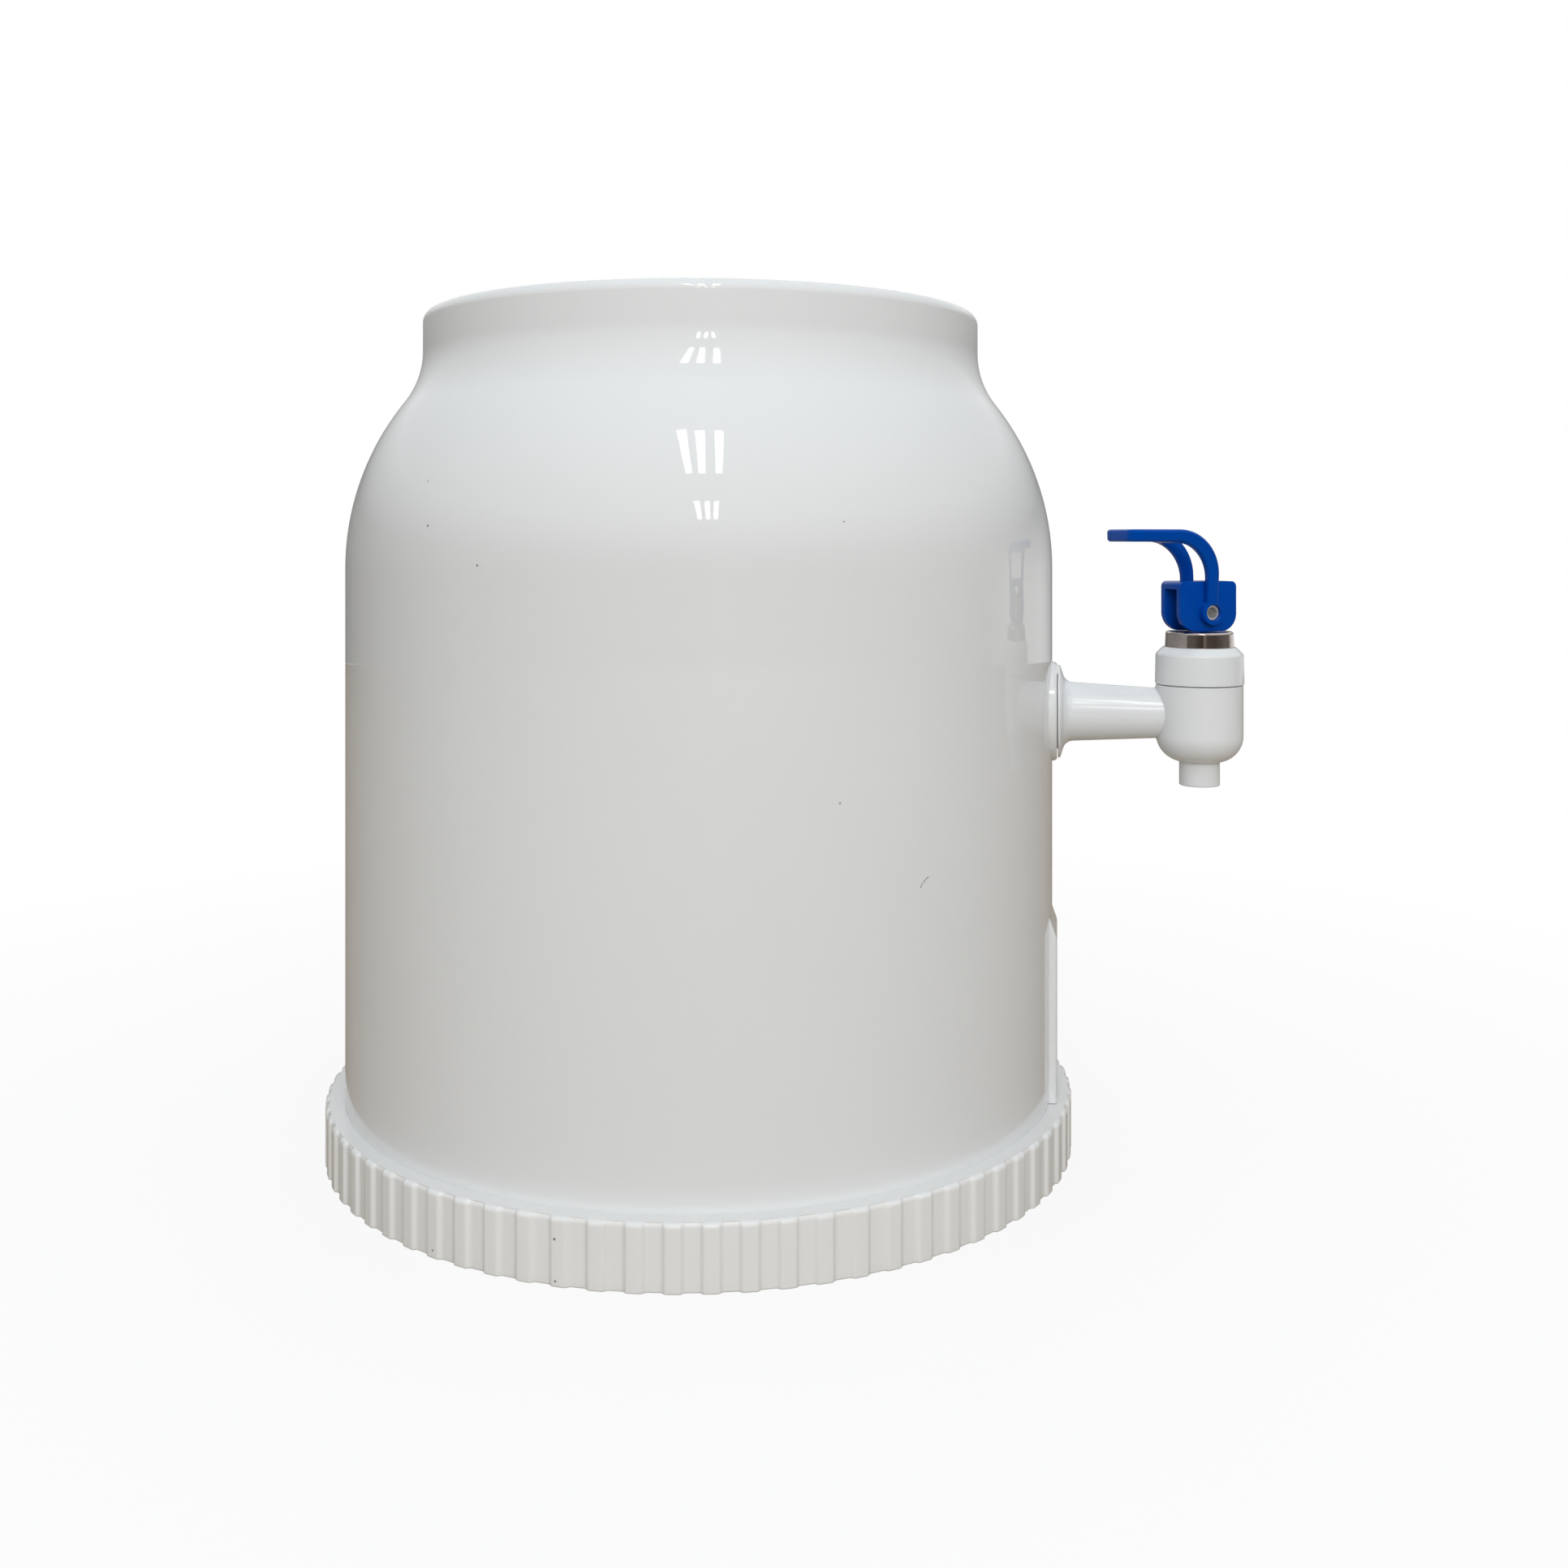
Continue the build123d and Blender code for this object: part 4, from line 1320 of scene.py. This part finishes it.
@dataclass(frozen=True)
class Studio:
    """Floor, reflecting boards, lamps and camera."""

    camera_place: tuple[float, float, float] = (0.1379, -0.6098, 0.2298)
    camera_turn: float = 9.823
    lens: float = 36.6
    shift: float = -0.158
    ceiling: float = 1.8
    tubes: tuple[Tube, ...] = (
        Tube((0.060, -1.105), (0.290, -2.030), 0.082),
        Tube((0.219, -1.090), (0.450, -2.000), 0.082),
        Tube((0.380, -1.050), (0.648, -1.945), 0.082),
        Tube((0.590, -3.090), (0.900, -4.290), 0.095),
        Tube((0.762, -3.050), (1.080, -4.240), 0.095),
        Tube((0.925, -3.010), (1.250, -4.190), 0.095),
    )
    tube_glow: float = 9.0
    room_radius: float = 2.4
    room_height: float = 1.05
    rise_from: float = 0.504
    window_share: tuple[float, float, float, float] = (0.55, 0.59, 0.66, 0.72)
    window_fade: tuple[float, float] = (0.12, 0.5)

    def camera(self) -> None:
        """Set the camera at the photograph's viewing angle."""
        data = bpy.data.cameras.new("view")
        data.lens = self.lens
        data.sensor_width = 36.0
        data.shift_y = self.shift
        data.clip_start = 0.01
        camera = bpy.data.objects.new("view", data)
        camera.location = self.camera_place
        camera.rotation_euler = Euler((math.radians(90), 0, math.radians(self.camera_turn)))
        bpy.context.scene.collection.objects.link(camera)
        bpy.context.scene.camera = camera

    def floor(self) -> None:
        """Lay a plain white floor that keeps the object's soft shadow."""
        side = 6.0
        corners = [(-side, -side, 0), (side, -side, 0), (side, side, 0), (-side, side, 0)]
        nodes = Nodes("Floor_white")
        grain = nodes.spread(nodes.noise(30.0, 4.0), 0.0, 1.0)
        colour = nodes.blend(grain, (0.80, 0.80, 0.80), (0.79, 0.79, 0.79))
        nodes.link(colour, nodes.shader.inputs["Base Color"])
        nodes.shader.inputs["Roughness"].default_value = 0.9
        glow = nodes.add("ShaderNodeEmission")
        away = nodes.tree.nodes.new("ShaderNodeVectorMath")
        away.operation = "LENGTH"
        nodes.link(nodes.place, away.inputs[0])
        white = nodes.spread(away.outputs["Value"], 0.86, 1.0, 0.15, 0.6)
        path = nodes.tree.nodes.new("ShaderNodeLightPath").outputs
        seen = nodes.math("MAXIMUM", path["Is Camera Ray"], path["Is Glossy Ray"])
        seen = nodes.math("MAXIMUM", seen, path["Is Transmission Ray"])
        mix = nodes.tree.nodes.new("ShaderNodeMixShader")
        nodes.link(nodes.math("MULTIPLY", white, seen), mix.inputs["Fac"])
        nodes.link(nodes.shader.outputs["BSDF"], mix.inputs[1])
        nodes.link(glow.outputs[0], mix.inputs[2])
        nodes.link(mix.outputs[0], nodes.output.inputs["Surface"])
        floor = self.sheet("floor", corners, [(0, 1, 2, 3)], nodes.material)
        floor.visible_diffuse = False
        floor.visible_glossy = False
        floor.visible_shadow = False

    def sheet(
        self, name: str, corners: list, faces: list, material: bpy.types.Material
    ) -> bpy.types.Object:
        """Make one sheet of the studio.

        Args:
            name: The sheet's name.
            corners: Its points in metres.
            faces: Its faces.
            material: Its finish.

        Returns:
            The sheet.
        """
        mesh = bpy.data.meshes.new(name)
        mesh.from_pydata(corners, [], faces)
        mesh.materials.append(material)
        sheet = bpy.data.objects.new(name, mesh)
        bpy.context.scene.collection.objects.link(sheet)
        return sheet

    def round_wall(
        self, radius: tuple[float, float], height: tuple[float, float]
    ) -> tuple[list, list]:
        """Return the points and faces of a ring of 96 faces, from a low edge to a high one.

        Args:
            radius: The radii of the low and high edges.
            height: Their heights.

        Returns:
            The points and the faces.
        """
        steps = 96
        corners = [
            (
                radius[k] * math.cos(2 * math.pi * i / steps),
                radius[k] * math.sin(2 * math.pi * i / steps),
                height[k],
            )
            for k in (0, 1)
            for i in range(steps)
        ]
        faces = [(i, (i + 1) % steps, steps + (i + 1) % steps, steps + i) for i in range(steps)]
        return corners, faces

    def boards(self) -> None:
        """Stand the grey boards that the glossy surfaces reflect, and lay the tan one below."""
        nodes = Nodes("Room_boards")
        turn = nodes.tree.nodes.new("ShaderNodeTexGradient")
        turn.gradient_type = "RADIAL"
        nodes.link(nodes.place, turn.inputs["Vector"])
        ramp = nodes.add("ShaderNodeValToRGB", Fac=turn.outputs["Fac"])
        for index, (place, colour) in enumerate(ROOM_TONES):
            marks = ramp.color_ramp.elements
            mark = marks[index] if index < 2 else marks.new(place)
            mark.position = place
            mark.color = (*colour, 1.0)
        height = nodes.add("ShaderNodeSeparateXYZ", Vector=nodes.place).outputs["Z"]
        rise = nodes.spread(height, 0.0, 1.0, self.rise_from, self.room_height)
        start, bright, dim, stop = self.window_share
        window = nodes.math(
            "MULTIPLY",
            nodes.spread(turn.outputs["Fac"], 0.0, 1.0, start, bright),
            nodes.spread(turn.outputs["Fac"], 1.0, 0.0, dim, stop),
        )
        window = nodes.math("MULTIPLY", window, nodes.spread(height, 1.0, 0.0, *self.window_fade))
        colour = nodes.blend(window, ramp.outputs["Color"], (1.0, 1.0, 1.0))
        colour = nodes.blend(rise, colour, (0.92, 0.92, 0.92))
        glow = nodes.add("ShaderNodeEmission", Color=colour)
        nodes.link(glow.outputs[0], nodes.output.inputs["Surface"])
        corners, faces = self.round_wall(
            (self.room_radius, self.room_radius), (0.0, self.room_height)
        )
        wall = self.sheet("room_boards", corners, faces, nodes.material)
        tan = Nodes("Table_board")
        grain = tan.spread(tan.noise(6.0, 5.0), 0.0, 1.0)
        colour = tan.blend(grain, (0.40, 0.32, 0.235), (0.35, 0.28, 0.205))
        tan.link(colour, tan.shader.inputs["Base Color"])
        tan.shader.inputs["Roughness"].default_value = 0.5
        corners, faces = self.round_wall((0.001, self.room_radius), (-0.0005, -0.0005))
        table = self.sheet("table_board", corners, faces, tan.material)
        for sheet in (wall, table):
            sheet.visible_camera = False
            sheet.visible_shadow = False
            sheet.visible_transmission = False
            sheet.visible_diffuse = sheet is table

    def lamp(
        self, name: str, place: Vector, aim: Vector, size: tuple[float, float], power: float,
        tint: tuple[float, float, float] = (1, 1, 1), along: Vector | None = None,
    ) -> bpy.types.Object:
        """Hang one soft rectangular lamp.

        Args:
            name: The lamp's name.
            place: Where it hangs, in metres.
            aim: The point that it faces.
            size: Its width and height in metres.
            power: Its power in watts.
            tint: Its colour.
            along: The direction of its height, where that matters.

        Returns:
            The lamp.
        """
        data = bpy.data.lights.new(name, "AREA")
        data.shape = "RECTANGLE"
        data.size, data.size_y = size
        data.energy = power
        data.color = tint
        lamp = bpy.data.objects.new(name, data)
        back = (place - aim).normalized()
        up = (along or Vector((0, 0, 1))).normalized()
        side = up.cross(back).normalized()
        up = back.cross(side)
        turn = Matrix((side, up, back)).transposed()
        lamp.matrix_world = Matrix.Translation(place) @ turn.to_4x4()
        bpy.context.scene.collection.objects.link(lamp)
        return lamp

    def ceiling_tubes(self) -> None:
        """Hang the ceiling's tubes, whose images stand on the shoulder and the neck."""
        for index, tube in enumerate(self.tubes):
            near, far = (Vector((*end, self.ceiling)) for end in (tube.near, tube.far))
            middle = (near + far) / 2
            length = (far - near).length
            power = self.tube_glow * math.pi * tube.width * length
            self.lamp(
                f"tube_{index + 1}",
                middle,
                middle - Vector((0, 0, 1)),
                (tube.width, length),
                power,
                along=far - near,
            )

    def sky(self) -> None:
        """Light the room evenly, and show white behind the object."""
        world = bpy.data.worlds.new("room")
        bpy.context.scene.world = world
        world.use_nodes = True
        tree = world.node_tree
        tree.nodes.clear()
        out = tree.nodes.new("ShaderNodeOutputWorld")
        room = tree.nodes.new("ShaderNodeBackground")
        room.inputs["Color"].default_value = (0.94, 0.975, 1.0, 1)
        room.inputs["Strength"].default_value = 0.39
        white = tree.nodes.new("ShaderNodeBackground")
        white.inputs["Color"].default_value = (1, 1, 1, 1)
        path = tree.nodes.new("ShaderNodeLightPath").outputs
        seen = path["Is Camera Ray"]
        for ray in ("Is Glossy Ray", "Is Transmission Ray"):
            more = tree.nodes.new("ShaderNodeMath")
            more.operation = "MAXIMUM"
            tree.links.new(seen, more.inputs[0])
            tree.links.new(path[ray], more.inputs[1])
            seen = more.outputs[0]
        mix = tree.nodes.new("ShaderNodeMixShader")
        tree.links.new(seen, mix.inputs["Fac"])
        tree.links.new(room.outputs[0], mix.inputs[1])
        tree.links.new(white.outputs[0], mix.inputs[2])
        tree.links.new(mix.outputs[0], out.inputs["Surface"])

    def build(self) -> None:
        """Set up the whole studio."""
        self.camera()
        self.floor()
        self.boards()
        self.sky()
        middle = Vector((0, 0, 0.15))
        key = self.lamp(
            "key", Vector((0.72, -2.30, 1.15)), middle, (1.8, 1.2), 27.5, (0.97, 0.99, 1.0)
        )
        key.visible_glossy = False
        cool = (0.78, 0.92, 1.0)
        overhead = self.lamp(
            "overhead",
            Vector((0, -0.2, 2.0)),
            Vector((0, 0, 0)),
            (1.6, 1.6),
            6.0,
            cool,
            Vector((0, 1, 0)),
        )
        overhead.visible_glossy = False
        back = self.lamp("back", Vector((-0.53, 2.30, 1.35)), middle, (1.8, 1.2), 16.0)
        back.visible_glossy = False
        self.ceiling_tubes()
        bpy.context.scene.view_settings.view_transform = "Standard"


def main() -> None:
    """Build every piece in order, then the studio, and note the sizes."""
    logging.basicConfig(level=logging.INFO, format="%(name)s %(message)s")
    Barrel().dress()
    Foot().dress()
    Tap().dress()
    Lever().dress()
    Yielding().dress()
    Fittings().dress()
    Studio().build()


if __name__ == "__main__":
    main()
